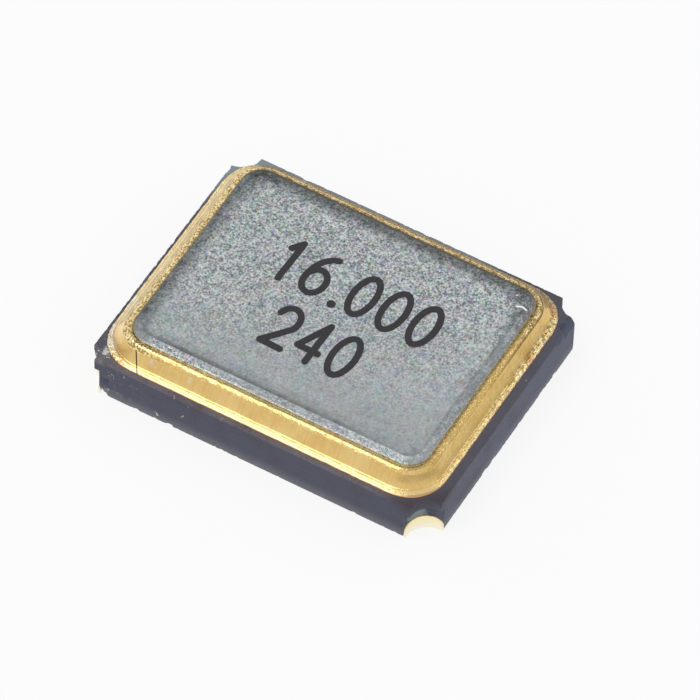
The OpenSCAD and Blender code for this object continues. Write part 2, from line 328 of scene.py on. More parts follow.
class Graph:
    """The node tree of a material or of the world, and the few ways to add to it."""

    def __init__(self, tree: bpy.types.NodeTree) -> None:
        """Clears a tree and starts on it."""
        tree.nodes.clear()
        self.tree = tree

    def add(
        self,
        kind: str,
        settings: Mapping[str, object] | None = None,
        sockets: Mapping[str | int, object] | None = None,
    ) -> bpy.types.Node:
        """Adds a node.

        Args:
            kind: The node's type.
            settings: Properties that are set first. "stops" are a ramp's positions and colours.
            sockets: Values or links of the inputs, by name or number.

        Returns:
            The new node.
        """
        made = self.tree.nodes.new(kind)
        for key, setting in (settings or {}).items():
            if key == "stops":
                self._set_stops(made, setting)
            else:
                setattr(made, key, setting)
        for key, given in (sockets or {}).items():
            source = given.socket if isinstance(given, Value) else given
            if isinstance(source, bpy.types.NodeSocket):
                self.tree.links.new(source, made.inputs[key])
            else:
                made.inputs[key].default_value = source
        return made

    def _set_stops(self, ramp: bpy.types.Node, stops: Sequence[tuple[float, Colour]]) -> None:
        """Sets a colour ramp.

        Args:
            ramp: The ramp's node.
            stops: Its positions and colours, from low to high.
        """
        elements = ramp.color_ramp.elements
        while len(elements) < len(stops):
            elements.new(1.0)
        for element, (position, colour) in zip(elements, stops):
            element.position = position
            element.color = (*colour, 1.0)

    def axes(self, place: bpy.types.NodeSocket) -> tuple[Value, Value, Value]:
        """X, Y and Z of a place."""
        parts = self.add("ShaderNodeSeparateXYZ", sockets={0: place}).outputs
        return Value(self, parts[0]), Value(self, parts[1]), Value(self, parts[2])

    def vector(self, operation: str, first: object, second: object) -> bpy.types.NodeSocket:
        """A Vector Math node on two vectors."""
        return self.add("ShaderNodeVectorMath", {"operation": operation}, {0: first, 1: second}).outputs[0]

    def measure(self, operation: str, first: object, second: object) -> Value:
        """A Vector Math node that makes a number of two vectors, such as their distance."""
        made = self.add("ShaderNodeVectorMath", {"operation": operation}, {0: first, 1: second})
        return Value(self, made.outputs["Value"])

    def scaled(self, vector: object, factor: Value | float) -> bpy.types.NodeSocket:
        """A vector times a number."""
        sockets = {0: vector, "Scale": factor}
        return self.add("ShaderNodeVectorMath", {"operation": "SCALE"}, sockets).outputs[0]

    def noise(
        self, place: bpy.types.NodeSocket, grain: float, detail: float, seed: float, roughness: float
    ) -> bpy.types.Node:
        """A noise node.

        Args:
            place: Where the noise is read, in millimetres.
            grain: Size of a lump, in millimetres.
            detail: How many finer layers are added.
            seed: Number that gives another pattern.
            roughness: Weight of the finer layers.

        Returns:
            The new node.
        """
        sockets = {"Vector": place, "W": seed, "Scale": 1 / grain, "Detail": detail, "Roughness": roughness}
        return self.add("ShaderNodeTexNoise", {"noise_dimensions": "4D"}, sockets)

    def blend(
        self, share: Value | float, low: object, high: object, mode: str = "MIX"
    ) -> bpy.types.NodeSocket:
        """Mixes two colours.

        Args:
            share: Weight of the second colour, between 0 and 1.
            low: First colour, or its socket.
            high: Second colour, or its socket.
            mode: The Mix node's way of blending.

        Returns:
            The mixed colour.
        """
        first, second = [(*c, 1.0) if isinstance(c, tuple) else c for c in (low, high)]
        settings = {"data_type": "RGBA", "blend_type": mode, "clamp_factor": True}
        return self.add("ShaderNodeMix", settings, {0: share, 6: first, 7: second}).outputs[2]

    def surface(self, shader: bpy.types.NodeSocket) -> None:
        """Makes a shader a material's output."""
        self.add("ShaderNodeOutputMaterial", sockets={"Surface": shader})


def new_material(name: str) -> tuple[bpy.types.Material, Graph]:
    """Starts a material.

    Args:
        name: Name of the material.

    Returns:
        The empty material and the graph on its nodes.
    """
    material = bpy.data.materials.new(name)
    material.use_nodes = True
    return material, Graph(material.node_tree)


# ---------------------------------------------------------------- layout


def box_of(node: str) -> tuple[np.ndarray, np.ndarray]:
    """Lowest and highest corners of a CAD node, in millimetres."""
    low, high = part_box(node)
    return np.array(low) / MM, np.array(high) / MM


def half_size(node: str) -> np.ndarray:
    """Half of a CAD node's length and width."""
    low, high = box_of(node)
    return (high - low)[:2] / 2


@dataclass(frozen=True)
class Layout:
    """Heights and outlines that the pieces share, read from the CAD frame."""

    ring_corner: float = 0.26
    pattern: np.ndarray = field(default_factory=lambda: sum(box_of("seal_band"))[:2] / 2)

    def z(self, node: str, top: bool) -> float:
        """Height of a CAD node's top or underside."""
        return float(box_of(node)[1 if top else 0][2])

    def path(
        self, stations: Stations = Stations(), shift: tuple[float, float] = (0.0, 0.0)
    ) -> FramePath:
        """The line that the sealing frame follows, moved sideways by a shift."""
        return FramePath(self.pattern + shift, half_size("seal_ring") - self.ring_corner, stations)

    def notch(
        self, corner: int, radius: float, inset: float, steps: int
    ) -> tuple[np.ndarray, np.ndarray]:
        """The round notch at a corner, within the body's sides.

        Args:
            corner: Number of the corner, counter-clockwise from the one at +X +Y.
            radius: Radius about the corner of the printed pattern.
            inset: How far the sides lie inside the full body.
            steps: Number of steps along the arc.

        Returns:
            The arc's middle and its angles, in the order of a counter-clockwise outline.
        """
        signs, full = CORNER_SIGNS[corner], half_size("ceramic_base")
        middle = self.pattern + full * signs
        gap = (full - inset) * signs - middle
        on_x = np.array([gap[0], -signs[1] * math.sqrt(radius**2 - gap[0] ** 2)])
        on_y = np.array([-signs[0] * math.sqrt(radius**2 - gap[1] ** 2), gap[1]])
        first, last = (on_x, on_y) if signs[0] * signs[1] > 0 else (on_y, on_x)
        a0, a1 = (math.atan2(p[1], p[0]) for p in (first, last))
        return middle, np.linspace(a0, a0 - (a0 - a1) % math.tau, steps + 1)

    def reach(self, node: str) -> float:
        """How far a piece of the frame goes out from the corner arcs' middles."""
        return float(half_size(node)[0] - self.path().arc[0])


# ---------------------------------------------------------------- finishes


class Coat:
    """A material in the making: where each place on the part is, and the colour laid there so far."""

    def __init__(self, name: str, layout: Layout, base: Colour) -> None:
        """Starts a material.

        Args:
            name: Name of the material.
            layout: Sizes that its marks are placed by.
            base: The first colour.
        """
        self.material, self.graph = new_material(name)
        self.layout = layout
        self.colour: Colour | bpy.types.NodeSocket = base
        coordinates = self.graph.add("ShaderNodeTexCoord").outputs["Object"]
        self.place = self.graph.scaled(coordinates, 1 / MM)
        self.x, self.y, self.z = self.graph.axes(self.place)

    @cached_property
    def reach(self) -> Value:
        """Distance out from the middles of the sealing frame's corner arcs.

        Returns:
            The distance in millimetres.
        """
        (x, y), (arc_x, arc_y) = self.layout.path().centre.tolist(), self.layout.path().arc.tolist()
        dx = (abs(self.x - x) - arc_x).above(0.0)
        dy = (abs(self.y - y) - arc_y).above(0.0)
        return (dx * dx + dy * dy).root()

    def cloud(
        self, grain: float, detail: float = 2.0, seed: float = 0.0, squeeze: Point | None = None
    ) -> Value:
        """Soft noise.

        Args:
            grain: Size of a lump, in millimetres.
            detail: How many finer layers are added.
            seed: Number that gives another pattern.
            squeeze: Factors along the three axes. Small ones draw the lumps out into streaks.

        Returns:
            A value between 0 and 1.
        """
        place = self.graph.vector("MULTIPLY", self.place, squeeze) if squeeze else self.place
        return Value(self.graph, self.graph.noise(place, grain, detail, seed, 0.55).outputs["Fac"])

    def tints(self, grain: float, seed: float) -> bpy.types.NodeSocket:
        """Noise in all three colours, with grains of a size in millimetres."""
        return self.graph.noise(self.place, grain, 1.0, seed, 0.6).outputs["Color"]

    def ragged_place(self, grain: float, seed: float, depth: float) -> bpy.types.NodeSocket:
        """The place moved about at random, which makes the outlines of spots uneven.

        Args:
            grain: Size of the bumps in an outline.
            seed: Number that gives another pattern.
            depth: Width of the band that the moves fill.

        Returns:
            The moved place.
        """
        moves = self.graph.vector("MULTIPLY", self.tints(grain, seed), (depth,) * 3)
        moves = self.graph.vector("ADD", moves, (-depth / 2,) * 3)
        return self.graph.vector("ADD", self.place, moves)

    def spots(
        self, spread: Sequence[tuple[Point, float]], place: bpy.types.NodeSocket | None = None
    ) -> Value:
        """Soft round spots.

        Args:
            spread: Middle and radius of each.
            place: Where they are read, if not at the place itself.

        Returns:
            1 in their middles and 0 outside their radii.
        """
        total = None
        for middle, radius in spread:
            away = self.graph.measure("DISTANCE", self.place if place is None else place, middle)
            spot = away.step(radius, radius * 0.5)
            total = spot if total is None else total.above(spot)
        return total

    def stroke(self, start: Point, end: Point, half_width: float, at_any_height: bool = False) -> Value:
        """A thin line between two places.

        Args:
            start: One end.
            end: The other end.
            half_width: Half of its width.
            at_any_height: Whether the line shows above and below too. Its ends then lie at height 0.

        Returns:
            1 along its middle and 0 beside it.
        """
        graph = self.graph
        place = graph.vector("MULTIPLY", self.place, (1.0, 1.0, 0.0)) if at_any_height else self.place
        run = Vector(end) - Vector(start)
        from_start = graph.vector("SUBTRACT", place, start)
        share = (graph.measure("DOT_PRODUCT", from_start, run) / run.length_squared).above(0.0).below(1.0)
        away = graph.measure("DISTANCE", from_start, graph.scaled(run, share))
        return away.step(half_width, half_width * 0.4)

    def lay(
        self, share: Value | float, colour: Colour | bpy.types.NodeSocket, mode: str = "MIX"
    ) -> None:
        """Lays a colour over the colour so far, by a share between 0 and 1."""
        self.colour = self.graph.blend(share, self.colour, colour, mode)

    def finish(
        self, relief: Value, depth: float, roughness: Value | float, metallic: Value | float = 0.0
    ) -> bpy.types.Material:
        """Ends the material with its shader.

        Args:
            relief: Height of the surface, where 1 stands for the depth.
            depth: Depth of the relief, in millimetres.
            roughness: The shader's roughness.
            metallic: How much the surface is metal.

        Returns:
            The finished material.
        """
        sockets = {"Height": relief, "Distance": depth * MM, "Strength": 1.0}
        normal = self.graph.add("ShaderNodeBump", sockets=sockets).outputs[0]
        sockets = {"Base Color": self.colour, "Metallic": metallic, "Roughness": roughness}
        sockets["Normal"] = normal
        self.graph.surface(self.graph.add("ShaderNodeBsdfPrincipled", sockets=sockets).outputs[0])
        return self.material


@dataclass(frozen=True)
class CeramicFinish:
    """Dark alumina, matt, with pale specks where its edges were snapped."""

    side: Colour = (0.061, 0.068, 0.106)
    # end is lighter than side as painted light: the right end catches more light.
    end: Colour = (0.088, 0.103, 0.155)
    top: Colour = (0.082, 0.082, 0.11)
    # Painted highlight: the front ledge is lighter, for the halo of the bright gold beside it.
    front_top_highlight: Colour = (0.15, 0.13, 0.145)
    dark: Colour = (0.05, 0.04, 0.06)
    far: Colour = (0.24, 0.29, 0.34)
    chip_and_bounce_light: Colour = (0.62, 0.62, 0.6)
    lit: Colour = (0.27, 0.33, 0.33)
    roughness: float = 0.62
    grain: float = 0.02
    grain_depth: float = 0.005
    lit_patch: tuple[Point, float] = ((1.39, -1.12, 0.19), 0.11)
    specks: tuple[tuple[Point, float], ...] = (
        ((-0.94, -1.25, 0.08), 0.026),
        ((-0.71, -1.25, 0.21), 0.015),
        ((-0.78, -1.25, 0.41), 0.016),
        ((-0.63, -1.25, 0.41), 0.009),
        ((-0.33, -1.25, 0.41), 0.016),
        ((-1.30, -1.25, 0.12), 0.014),
        ((-1.42, -1.25, 0.09), 0.026),
        ((-1.37, -1.25, 0.1), 0.01),
        ((-1.44, -1.19, 0.41), 0.014),
        ((-1.49, -1.14, 0.4), 0.05),
        ((-1.54, -1.1, 0.33), 0.05),
        ((-1.55, -1.02, 0.3), 0.035),
        ((-1.47, -1.22, 0.27), 0.02),
        ((-1.36, -1.25, 0.3), 0.02),
        ((-1.24, -1.25, 0.36), 0.015),
        ((-1.16, -1.25, 0.3), 0.014),
        ((1.58, 0.35, 0.41), 0.01),
    )

    def material(self, layout: Layout) -> bpy.types.Material:
        """Builds the material.

        Args:
            layout: Sizes that its marks are placed by.

        Returns:
            The new material.
        """
        coat = Coat("ceramic", layout, self.side)
        fine = coat.cloud(self.grain, 3.0, 4.0)
        self._lay_faces(coat, fine)
        self._lay_marks_and_light(coat)
        return coat.finish(fine, self.grain_depth, self.roughness)

    def _lay_faces(self, coat: Coat, fine: Value) -> None:
        """Lays the walls' and rim's colours, darker patches left by firing, and painted light and shade at
        the end, ledge and near corner.

        Args:
            coat: The material in the making.
            fine: The ceramic's fine grain.
        """
        x, y, z = coat.x, coat.y, coat.z
        top = coat.layout.z("ceramic_base", True)
        # Painted light: the right end face is lighter.
        coat.lay(x.step(1.5, 1.58), self.end)
        # Painted highlight on the front ledge.
        on_front = y.step(-1.1, -1.19) * x.step(1.3, 1.0)
        coat.lay(z.step(top - 0.03, top - 0.002), coat.graph.blend(on_front, self.top, self.front_top_highlight))
        back_rim = y.step(1.16, 1.23) * z.step(top - 0.03, top - 0.01) * x.step(1.2, 0.4) * 0.8
        far_rim = (y - x).step(2.1, 2.6).above(back_rim)
        coat.lay(far_rim, self.far)
        shade = (coat.cloud(0.25, 3.0) * 0.6 + fine * 0.4).step(0.42, 0.8)
        # Painted shade at the top of the near corner, by the notch.
        near_corner_shade = (y - x).step(-2.35, -2.62) * z.step(0.28, 0.4)
        coat.lay(shade.above(near_corner_shade) * (1.0 - 0.8 * far_rim), self.dark)

    def _lay_marks_and_light(self, coat: Coat) -> None:
        """Lays painted light from the floor on the walls' foot, the painted lit patch over the near
        terminal, the chips and the dust.

        Args:
            coat: The material in the making.
        """
        # Painted light: the walls turn paler towards the floor, where light bounced off it falls.
        floor_bounce_light = coat.z.step(0.16, 0.0) * (0.35 + 0.4 * coat.cloud(0.1, 3.0, 6.0))
        coat.lay(floor_bounce_light * 0.35, self.chip_and_bounce_light)
        # Painted highlight: a lit patch on the notch wall over the near terminal.
        coat.lay(coat.spots((self.lit_patch,)) * 0.9, self.lit)
        scattered = coat.cloud(0.02, 2.0, 9.0).step(0.7, 0.77)
        scattered *= coat.cloud(0.2, 1.0, 2.0).step(0.55, 0.65) * (-coat.x).step(-0.4, 1.2)
        chips = coat.spots(self.specks, coat.ragged_place(0.035, 5.0, 0.14))
        chips *= coat.cloud(0.014, 2.0, 3.0).step(0.36, 0.5)
        coat.lay((scattered * 0.3).above(chips), self.chip_and_bounce_light)
        dust = coat.cloud(0.045, 3.0, 14.0).step(0.5, 0.75) * (-coat.x).step(0.9, 1.5)
        coat.lay(dust * 0.2, self.chip_and_bounce_light)


@dataclass(frozen=True)
class Sheen:
    """How wear changes the way that gold reflects: its metal share, and where it is smooth."""

    metallic: Value | float = 1.0
    smooth: Value | float = 0.0


@dataclass(frozen=True)
class GoldFinish:
    """Gold plating with a fine grain, and streaks that run along the part's sides."""

    name: str
    light: Colour = (1.0, 0.73, 0.295)
    deep: Colour = (0.83, 0.53, 0.165)
    # glint and shadow are a painted highlight and painted shade for single grains.
    glint: Colour = (1.0, 0.94, 0.6)
    shadow: Colour = (0.33, 0.23, 0.08)
    roughness: float = 0.26
    grain: float = 0.016
    grain_depth: float = 0.003
    lip_grain: float = 0.028
    lip_depth: float = 1.0
    glint_grain: float = 0.018
    streak: float = 0.02
    streak_squeeze: float = 0.04

    def material(self, layout: Layout) -> bpy.types.Material:
        """Builds the material.

        Args:
            layout: Sizes that its marks are placed by.

        Returns:
            The new material.
        """
        coat = Coat(self.name, layout, self.light)
        lip = coat.reach.step(0.328, 0.345)
        broad = coat.cloud(0.2, 3.0, 1.0)
        fine = coat.cloud(self.grain, 2.0, 2.0)
        streaks = self._streaks(coat) * (1.0 - lip)
        coat.lay((broad * 0.5 + fine * 0.18 + streaks * 0.32).step(0.32, 0.72), self.deep)
        sheen = self._lay_marks_and_light(coat, lip)
        coarse_side = coat.y.step(-1.05, -0.75).above(coat.x.step(-1.2, -1.38))
        rough_share = (0.2 + 0.8 * coarse_side) * (1.0 - 0.8 * sheen.smooth)
        grains = fine + coat.cloud(self.lip_grain, 2.0, 8.0) * lip * self.lip_depth
        relief = grains * rough_share + streaks * 0.1
        roughness = self.roughness - 0.12 * sheen.smooth + (fine - 0.5) * 0.16
        return coat.finish(relief, self.grain_depth, roughness, sheen.metallic)

    def _streaks(self, coat: Coat) -> Value:
        """Fine rolling marks.

        Args:
            coat: The material in the making.

        Returns:
            A value between 0 and 1, drawn out along the part or, at its ends, across it.
        """
        thin = self.streak_squeeze
        across = coat.cloud(self.streak, 2.0, 5.0, (thin, 1.0, thin))
        along = coat.cloud(self.streak, 2.0, 5.0, (1.0, thin, thin))
        on_end = abs(coat.x).step(1.25, 1.32)
        return across * on_end + along * (1.0 - on_end)

    def _lay_glints(self, coat: Coat, amount: Value) -> None:
        """Lays painted shade on some grains and painted glints on others.

        Args:
            coat: The material in the making.
            amount: How strong they are.
        """
        grains = coat.cloud(self.glint_grain, 1.0, 12.0)
        coat.lay(grains.step(0.52, 0.42) * amount, self.shadow)
        coat.lay(grains.step(0.53, 0.6) * amount, self.glint)

    def _lay_marks_and_light(self, coat: Coat, lip: Value) -> Sheen:
        """Lays nothing on plain plating, which keeps its sheen."""
        return Sheen()


@dataclass(frozen=True)
class PadGold(GoldFinish):
    """The terminals' gold, with a painted sheen that pales the foot of the notches' walls."""

    sheen_colour: Colour = (1.0, 0.98, 0.9)
    foot_sheen: float = 0.75

    def _lay_marks_and_light(self, coat: Coat, lip: Value) -> Sheen:
        """Lays the painted sheen on the foot of the notch walls, and leaves the underside as it is."""
        coat.lay(coat.z.step(0.13, 0.0) * coat.z.step(0.001, 0.01) * self.foot_sheen, self.sheen_colour)
        return Sheen()


@dataclass(frozen=True)
class BeadGold(GoldFinish):
    """The weld bead's gold: molten grains with painted glints, and painted shade in a groove at its foot on
    the right.
    """

    glints: float = 0.9
    soft_left: float = 0.72

    def _lay_marks_and_light(self, coat: Coat, lip: Value) -> Sheen:
        """Lays painted glints on the grains, painted shade in the groove and on the right crest, and a
        painted highlight on the inner side.

        Args:
            coat: The material in the making.
            lip: Not used here.

        Returns:
            The sheen, which is less metallic at the left and towards the lid.
        """
        x, y, reach = coat.x, coat.y, coat.reach
        far_left = y.step(0.3, 0.9).above((-x).step(0.9, 1.2))
        self._lay_glints(coat, (0.15 + 0.85 * far_left) * self.glints)
        ring_edge = coat.layout.reach("seal_ring")
        right = x.step(1.15, 1.3)
        # Painted shade: a dark line in the groove, and over the right crest.
        groove_shade = reach.step(ring_edge - 0.022, ring_edge - 0.012) * right * y.step(-0.1, 0.6)
        crest = reach.step(0.238, 0.218) * reach.step(0.19, 0.206) * right
        coat.lay((groove_shade * 0.8).above(crest * 0.5), self.shadow)
        # Painted highlight on the bead's inner side towards the lid.
        inner_side_highlight = reach.step(0.198, 0.184) * (1.0 - far_left)
        coat.lay(inner_side_highlight * 0.5, self.glint)
        return Sheen(metallic=1.0 - (-x).step(1.25, 1.36) * self.soft_left - 0.5 * inner_side_highlight)


@dataclass(frozen=True)
class BrazeGold(GoldFinish):
    """The frame's gold: a grainy lip, a streaked slope, stains and a hairline, and painted glints,
    highlights and shade.
    """

    # The stain colour also serves as painted shade in the fold at the left corner.
    stain_and_shade: Colour = (0.6, 0.27, 0.1)
    pale_highlight: Colour = (0.93, 0.84, 0.66)
    # back is painted shade for the frame's back side.
    back: Colour = (0.42, 0.35, 0.24)
    slope_highlight: Colour = (1.0, 0.86, 0.52)
    seam: Colour = (0.05, 0.02, 0.006)
    glints: float = 0.9
    hairline: tuple[Point, Point] = ((-1.234, -1.075, 0.0), (-1.133, -1.226, 0.0))
    hairline_half_width: float = 0.0065
    stains: tuple[tuple[Point, float], ...] = (
        ((1.44, 1.12, 0.44), 0.12),
        ((1.5, 0.55, 0.44), 0.07),
        ((1.33, 1.2, 0.44), 0.07),
    )
    # Pale spots; at the left corner and side they are a painted highlight.
    pale_and_lit_spots: tuple[tuple[Point, float], ...] = (
        ((-1.52, -0.98, 0.44), 0.2),
        ((-1.06, -1.09, 0.5), 0.05),
        ((-0.72, -1.09, 0.5), 0.036),
        ((-1.56, -0.6, 0.44), 0.12),
    )

    def _lay_marks_and_light(self, coat: Coat, lip: Value) -> Sheen:
        """Lays painted glints, the bands, pale spots that are partly a painted highlight, the hairline, and
        a painted highlight on the left slope.

        Args:
            coat: The material in the making.
            lip: Where the frame's outer lip is.

        Returns:
            The sheen, which is smoother and less metallic on the left slope.
        """
        left_corner = (-coat.x).step(1.2, 1.4) * (-coat.y).step(0.3, 0.9)
        self._lay_glints(coat, self._sparkling(coat, lip, left_corner) * self.glints)
        mottled = coat.cloud(0.05, 3.0, 7.0).step(0.36, 0.6)
        self._lay_bands(coat, lip, left_corner, mottled)
        # Pale spots, a painted highlight at the left corner and side.
        on_lip_or_right = lip.above(coat.x.step(-1.35, -1.15)).above(0.25)
        patchy = coat.cloud(0.04, 2.0, 3.0).step(0.36, 0.6).above((-coat.x).step(1.2, 1.3))
        coat.lay(coat.spots(self.pale_and_lit_spots) * (0.6 + 0.4 * mottled) * on_lip_or_right * patchy, self.pale_highlight)
        coat.lay(coat.stroke(*self.hairline, self.hairline_half_width, at_any_height=True), self.seam)
        # Painted highlight: the left slope is paler, for the bright floor that it reflects.
        lit_left_slope = (-coat.x).step(1.33, 1.43) * (1.0 - 0.6 * lip) * coat.y.step(-1.05, -0.75)
        coat.lay(lit_left_slope * 0.72, self.slope_highlight)
        return Sheen(metallic=1.0 - 0.65 * lit_left_slope, smooth=lit_left_slope)

    def _sparkling(self, coat: Coat, lip: Value, left_corner: Value) -> Value:
        """Where painted glints and shade go on single grains of the plating.

        Args:
            coat: The material in the making.
            lip: Where the frame's outer lip is.
            left_corner: Where the front left corner is.

        Returns:
            1 on the right lip, less on the right slope's foot and at the left corner, and 0 elsewhere.
        """
        x, y = coat.x, coat.y
        right = x.step(1.0, 1.35) * y.step(-1.1, -0.6) * (0.45 + 0.55 * y.step(-0.3, 0.7))
        low_slope = coat.reach.step(0.3, 0.33) * x.step(1.1, 1.3) * y.step(-0.6, 0.6)
        return (right * lip.above(low_slope * 0.9)).above(left_corner * lip * 0.35)

    def _lay_bands(self, coat: Coat, lip: Value, left_corner: Value, mottled: Value) -> None:
        """Lays the bands that follow the frame, one over another: stains, a brown rim, painted shade and a
        painted highlight.

        Args:
            coat: The material in the making.
            lip: Where the frame's outer lip is.
            left_corner: Where the front left corner is.
            mottled: Patches that make the stains uneven.
        """
        y, reach, layout = coat.y, coat.reach, coat.layout
        foot = coat.z.step(layout.z("seal_band", True) - 0.004, layout.z("seal_band", False))
        # Painted highlight along the lip's outer part.
        lip_highlight = reach.step(0.335, 0.365)
        # Painted shade on the top of the right slope.
        upper_right_shade = reach.step(0.305, 0.275) * coat.x.step(1.15, 1.3)
        brown_rim = reach.step(0.366, 0.377) * y.step(1.15, 0.9)
        # Painted shade in the fold between lip and slope at the left corner, in the stain colour.
        fold_shade = reach.step(0.29, 0.325) * (1.0 - lip) * left_corner
        coat.lay(foot.above(coat.spots(self.stains) * mottled * 0.8), self.stain_and_shade)
        # Painted shade: the back side of the frame is darker.
        coat.lay(y.step(1.08, 1.16) * 0.6, self.back)
        coat.lay(lip_highlight * 0.28, self.glint)
        coat.lay(upper_right_shade * 0.22, self.shadow)
        coat.lay(brown_rim * 0.55, self.stain_and_shade)
        coat.lay(fold_shade * 0.5, self.stain_and_shade)


@dataclass(frozen=True)
class LidFinish:
    """Etched nickel whose painted glints sparkle at the far side, rubbed smoother towards the near corner,
    with painted shade.
    """

    pale_highlight: Colour = (0.95, 1.0, 1.0)
    dark: Colour = (0.21, 0.245, 0.275)
    # worn also serves as painted shade on the lid's front.
    worn: Colour = (0.37, 0.4, 0.42)
    edge: Colour = (0.3, 0.26, 0.17)
    scratch_glint: Colour = (1.0, 1.0, 1.0)
    shade: Colour = (0.1, 0.11, 0.12)
    roughness: float = 0.4
    grain: float = 0.0165
    grain_depth: float = 0.006
    border: float = 0.075
    scratch_half_width: float = 0.011
    scratches: tuple[tuple[Point, Point], ...] = (
        ((1.195, 0.853, 0.59), (1.235, 0.872, 0.59)),
        ((1.235, 0.872, 0.59), (1.28, 0.862, 0.588)),
    )
    dots: tuple[tuple[Point, float], ...] = (((1.14, 0.953, 0.59), 0.009), ((0.9, 0.9, 0.59), 0.006))

    def material(self, layout: Layout) -> bpy.types.Material:
        """Builds the material.

        Args:
            layout: Sizes that its marks are placed by.

        Returns:
            The new material.
        """
        coat = Coat("lid_nickel", layout, self.dark)
        outer = layout.reach("lid")
        inner = outer - self.border
        on_border = coat.reach.step(inner - 0.035, inner + 0.01)
        near_side = (-coat.y).step(0.5, 0.75) * coat.x.step(-1.3, -1.05)
        near_side = near_side.above(coat.x.step(0.95, 1.1) * (1.0 - coat.y.step(0.4, 0.75)))
        near_border = on_border * near_side
        coarse = coat.cloud(self.grain * 2.6, 2.0, 5.0)
        speckle = self._lay_speckle(coat, coarse, near_border)
        blotches = coat.cloud(0.06, 3.0, 11.0).step(0.4, 0.66)
        self._lay_front_shade_and_wear(coat, near_border, blotches)
        # Painted shade at the borders, far corners, crease and fields, made uneven by blotches.
        shade_share = self._painted_shade(coat, inner, on_border, near_side)
        coat.lay(shade_share * (0.6 + 0.4 * blotches) * 0.85, self.shade)
        coat.lay(coat.reach.step(outer - 0.03, outer - 0.012) * (0.8 - 0.5 * near_side), self.edge)
        # Scratches and dots: real marks whose pure white is a painted glint.
        marks = coat.spots(self.dots)
        for start, end in self.scratches:
            marks = marks.above(coat.stroke(start, end, self.scratch_half_width))
        coat.lay(marks, self.scratch_glint)
        roughness = self.roughness - 0.08 * on_border + (coarse - 0.5) * 0.2
        return coat.finish(speckle, self.grain_depth, roughness, 1.0 - marks)

    def _lay_speckle(self, coat: Coat, coarse: Value, near_border: Value) -> Value:
        """Lays the etched grain, whose pale grains are painted glints, calm near the front corner, and its
        faint tints.

        Args:
            coat: The material in the making.
            coarse: The coarser of the lid's two grains.
            near_border: Where the front and right borders are.

        Returns:
            The grain, between about -0.5 and 0.5.
        """
        to_left = (-coat.x).step(0.3, 1.0)
        calm = 1.0 - 0.72 * (0.35 * coat.x - coat.y).step(-0.55, 1.0)
        calm = calm.above(near_border * (0.75 + 0.4 * to_left))
        speckle = (coat.cloud(self.grain, 1.0, 1.0) * 0.7 + coarse * 0.3 - 0.5) * calm
        # The pale grains are painted glints.
        coat.lay((speckle + 0.5).step(0.32, 0.68), self.pale_highlight)
        coat.lay(0.5 * calm, coat.tints(self.grain * 1.6, 3.0), "OVERLAY")
        coat.lay(0.25, coat.tints(0.09, 7.0), "OVERLAY")
        return speckle

    def _lay_front_shade_and_wear(self, coat: Coat, near_border: Value, blotches: Value) -> None:
        """Lays painted shade that dims the front, and the even grey of the worn border.

        Args:
            coat: The material in the making.
            near_border: Where the front and right borders are.
            blotches: Patches that make the wear uneven.
        """
        # Painted shade: the front is dimmer, in the worn colour.
        coat.lay((-coat.y).step(0.3, 0.85) * 0.25 * (1.0 - near_border), self.worn)
        smooth = near_border * (1.0 - 0.7 * (-coat.x).step(0.3, 1.0))
        coat.lay(smooth * (0.35 + 0.35 * blotches), self.worn)

    def _painted_shade(self, coat: Coat, inner: float, on_border: Value, near_side: Value) -> Value:
        """Where painted shade darkens the lid.

        Args:
            coat: The material in the making.
            inner: Reach of the border's inner edge.
            on_border: Where the border is.
            near_side: Where the front and right sides are.

        Returns:
            How deep the painted shade is at each place: the far corners, the borders, the left rim, the
            front crease, and the far and near fields.
        """
        x, y, reach = coat.x, coat.y, coat.reach
        far_corners = reach.step(inner - 0.14, inner) * abs(x).step(0.8, 1.2) * y.step(0.45, 0.85)
        far_borders = reach.step(inner - 0.1, inner + 0.005) * (1.0 - near_side)
        left_rim = reach.step(inner - 0.03, inner + 0.035) * x.step(-0.95, -1.15) * y.step(-0.95, -0.7)
        right_border = on_border * x.step(1.0, 1.12) * y.step(-0.75, -0.4)
        crease = reach.step(0.12, 0.1) * reach.step(0.045, 0.08) * (-y).step(0.25, 0.75) * x.step(1.0, 0.5)
        crease_depth = 0.4 + 0.25 * (-x).step(0.5, 1.1)
        far_field, near_field = y.step(0.55, 1.0), (-y).step(0.45, 0.7) * x.step(1.2, 0.9)
        shade_share = far_corners
        for area, depth in (
            (far_borders, 0.68),
            (left_rim, 0.95),
            (right_border, 0.35),
            (crease, crease_depth),
            (far_field, 0.14),
            (near_field, 0.07),
        ):
            shade_share = shade_share.above(area * depth)
        return shade_share


@dataclass(frozen=True)
class PlainFinish:
    """A finish with a fine grain in its colour and relief, for ink, quartz, film and tungsten."""

    name: str
    colour: Colour
    other: Colour
    metallic: float
    roughness: float
    grain: float
    grain_depth: float

    def material(self, layout: Layout) -> bpy.types.Material:
        """Builds the material.

        Args:
            layout: Sizes that the part's materials share.

        Returns:
            The new material.
        """
        coat = Coat(self.name, layout, self.colour)
        fine = coat.cloud(self.grain, 3.0)
        coat.lay(fine.step(0.3, 0.7), self.other)
        return coat.finish(fine, self.grain_depth, self.roughness + (fine - 0.5) * 0.1, self.metallic)


class Slot(Enum):
    """The record's material slots."""

    CERAMIC = "ceramic"
    GOLD = "gold_plating"
    WELD = "gold_weld"
    LID = "lid_metal"
    QUARTZ = "quartz"
    SILVER = "silver"
    TUNGSTEN = "tungsten"


def dress(piece: bpy.types.Object, material: bpy.types.Material) -> bpy.types.Object:
    """Gives a piece its only material.

    Args:
        piece: The piece.
        material: What it is dressed in.

    Returns:
        The same piece.
    """
    piece.data.materials.clear()
    piece.data.materials.append(material)
    return piece


# ---------------------------------------------------------------- sub-assemblies


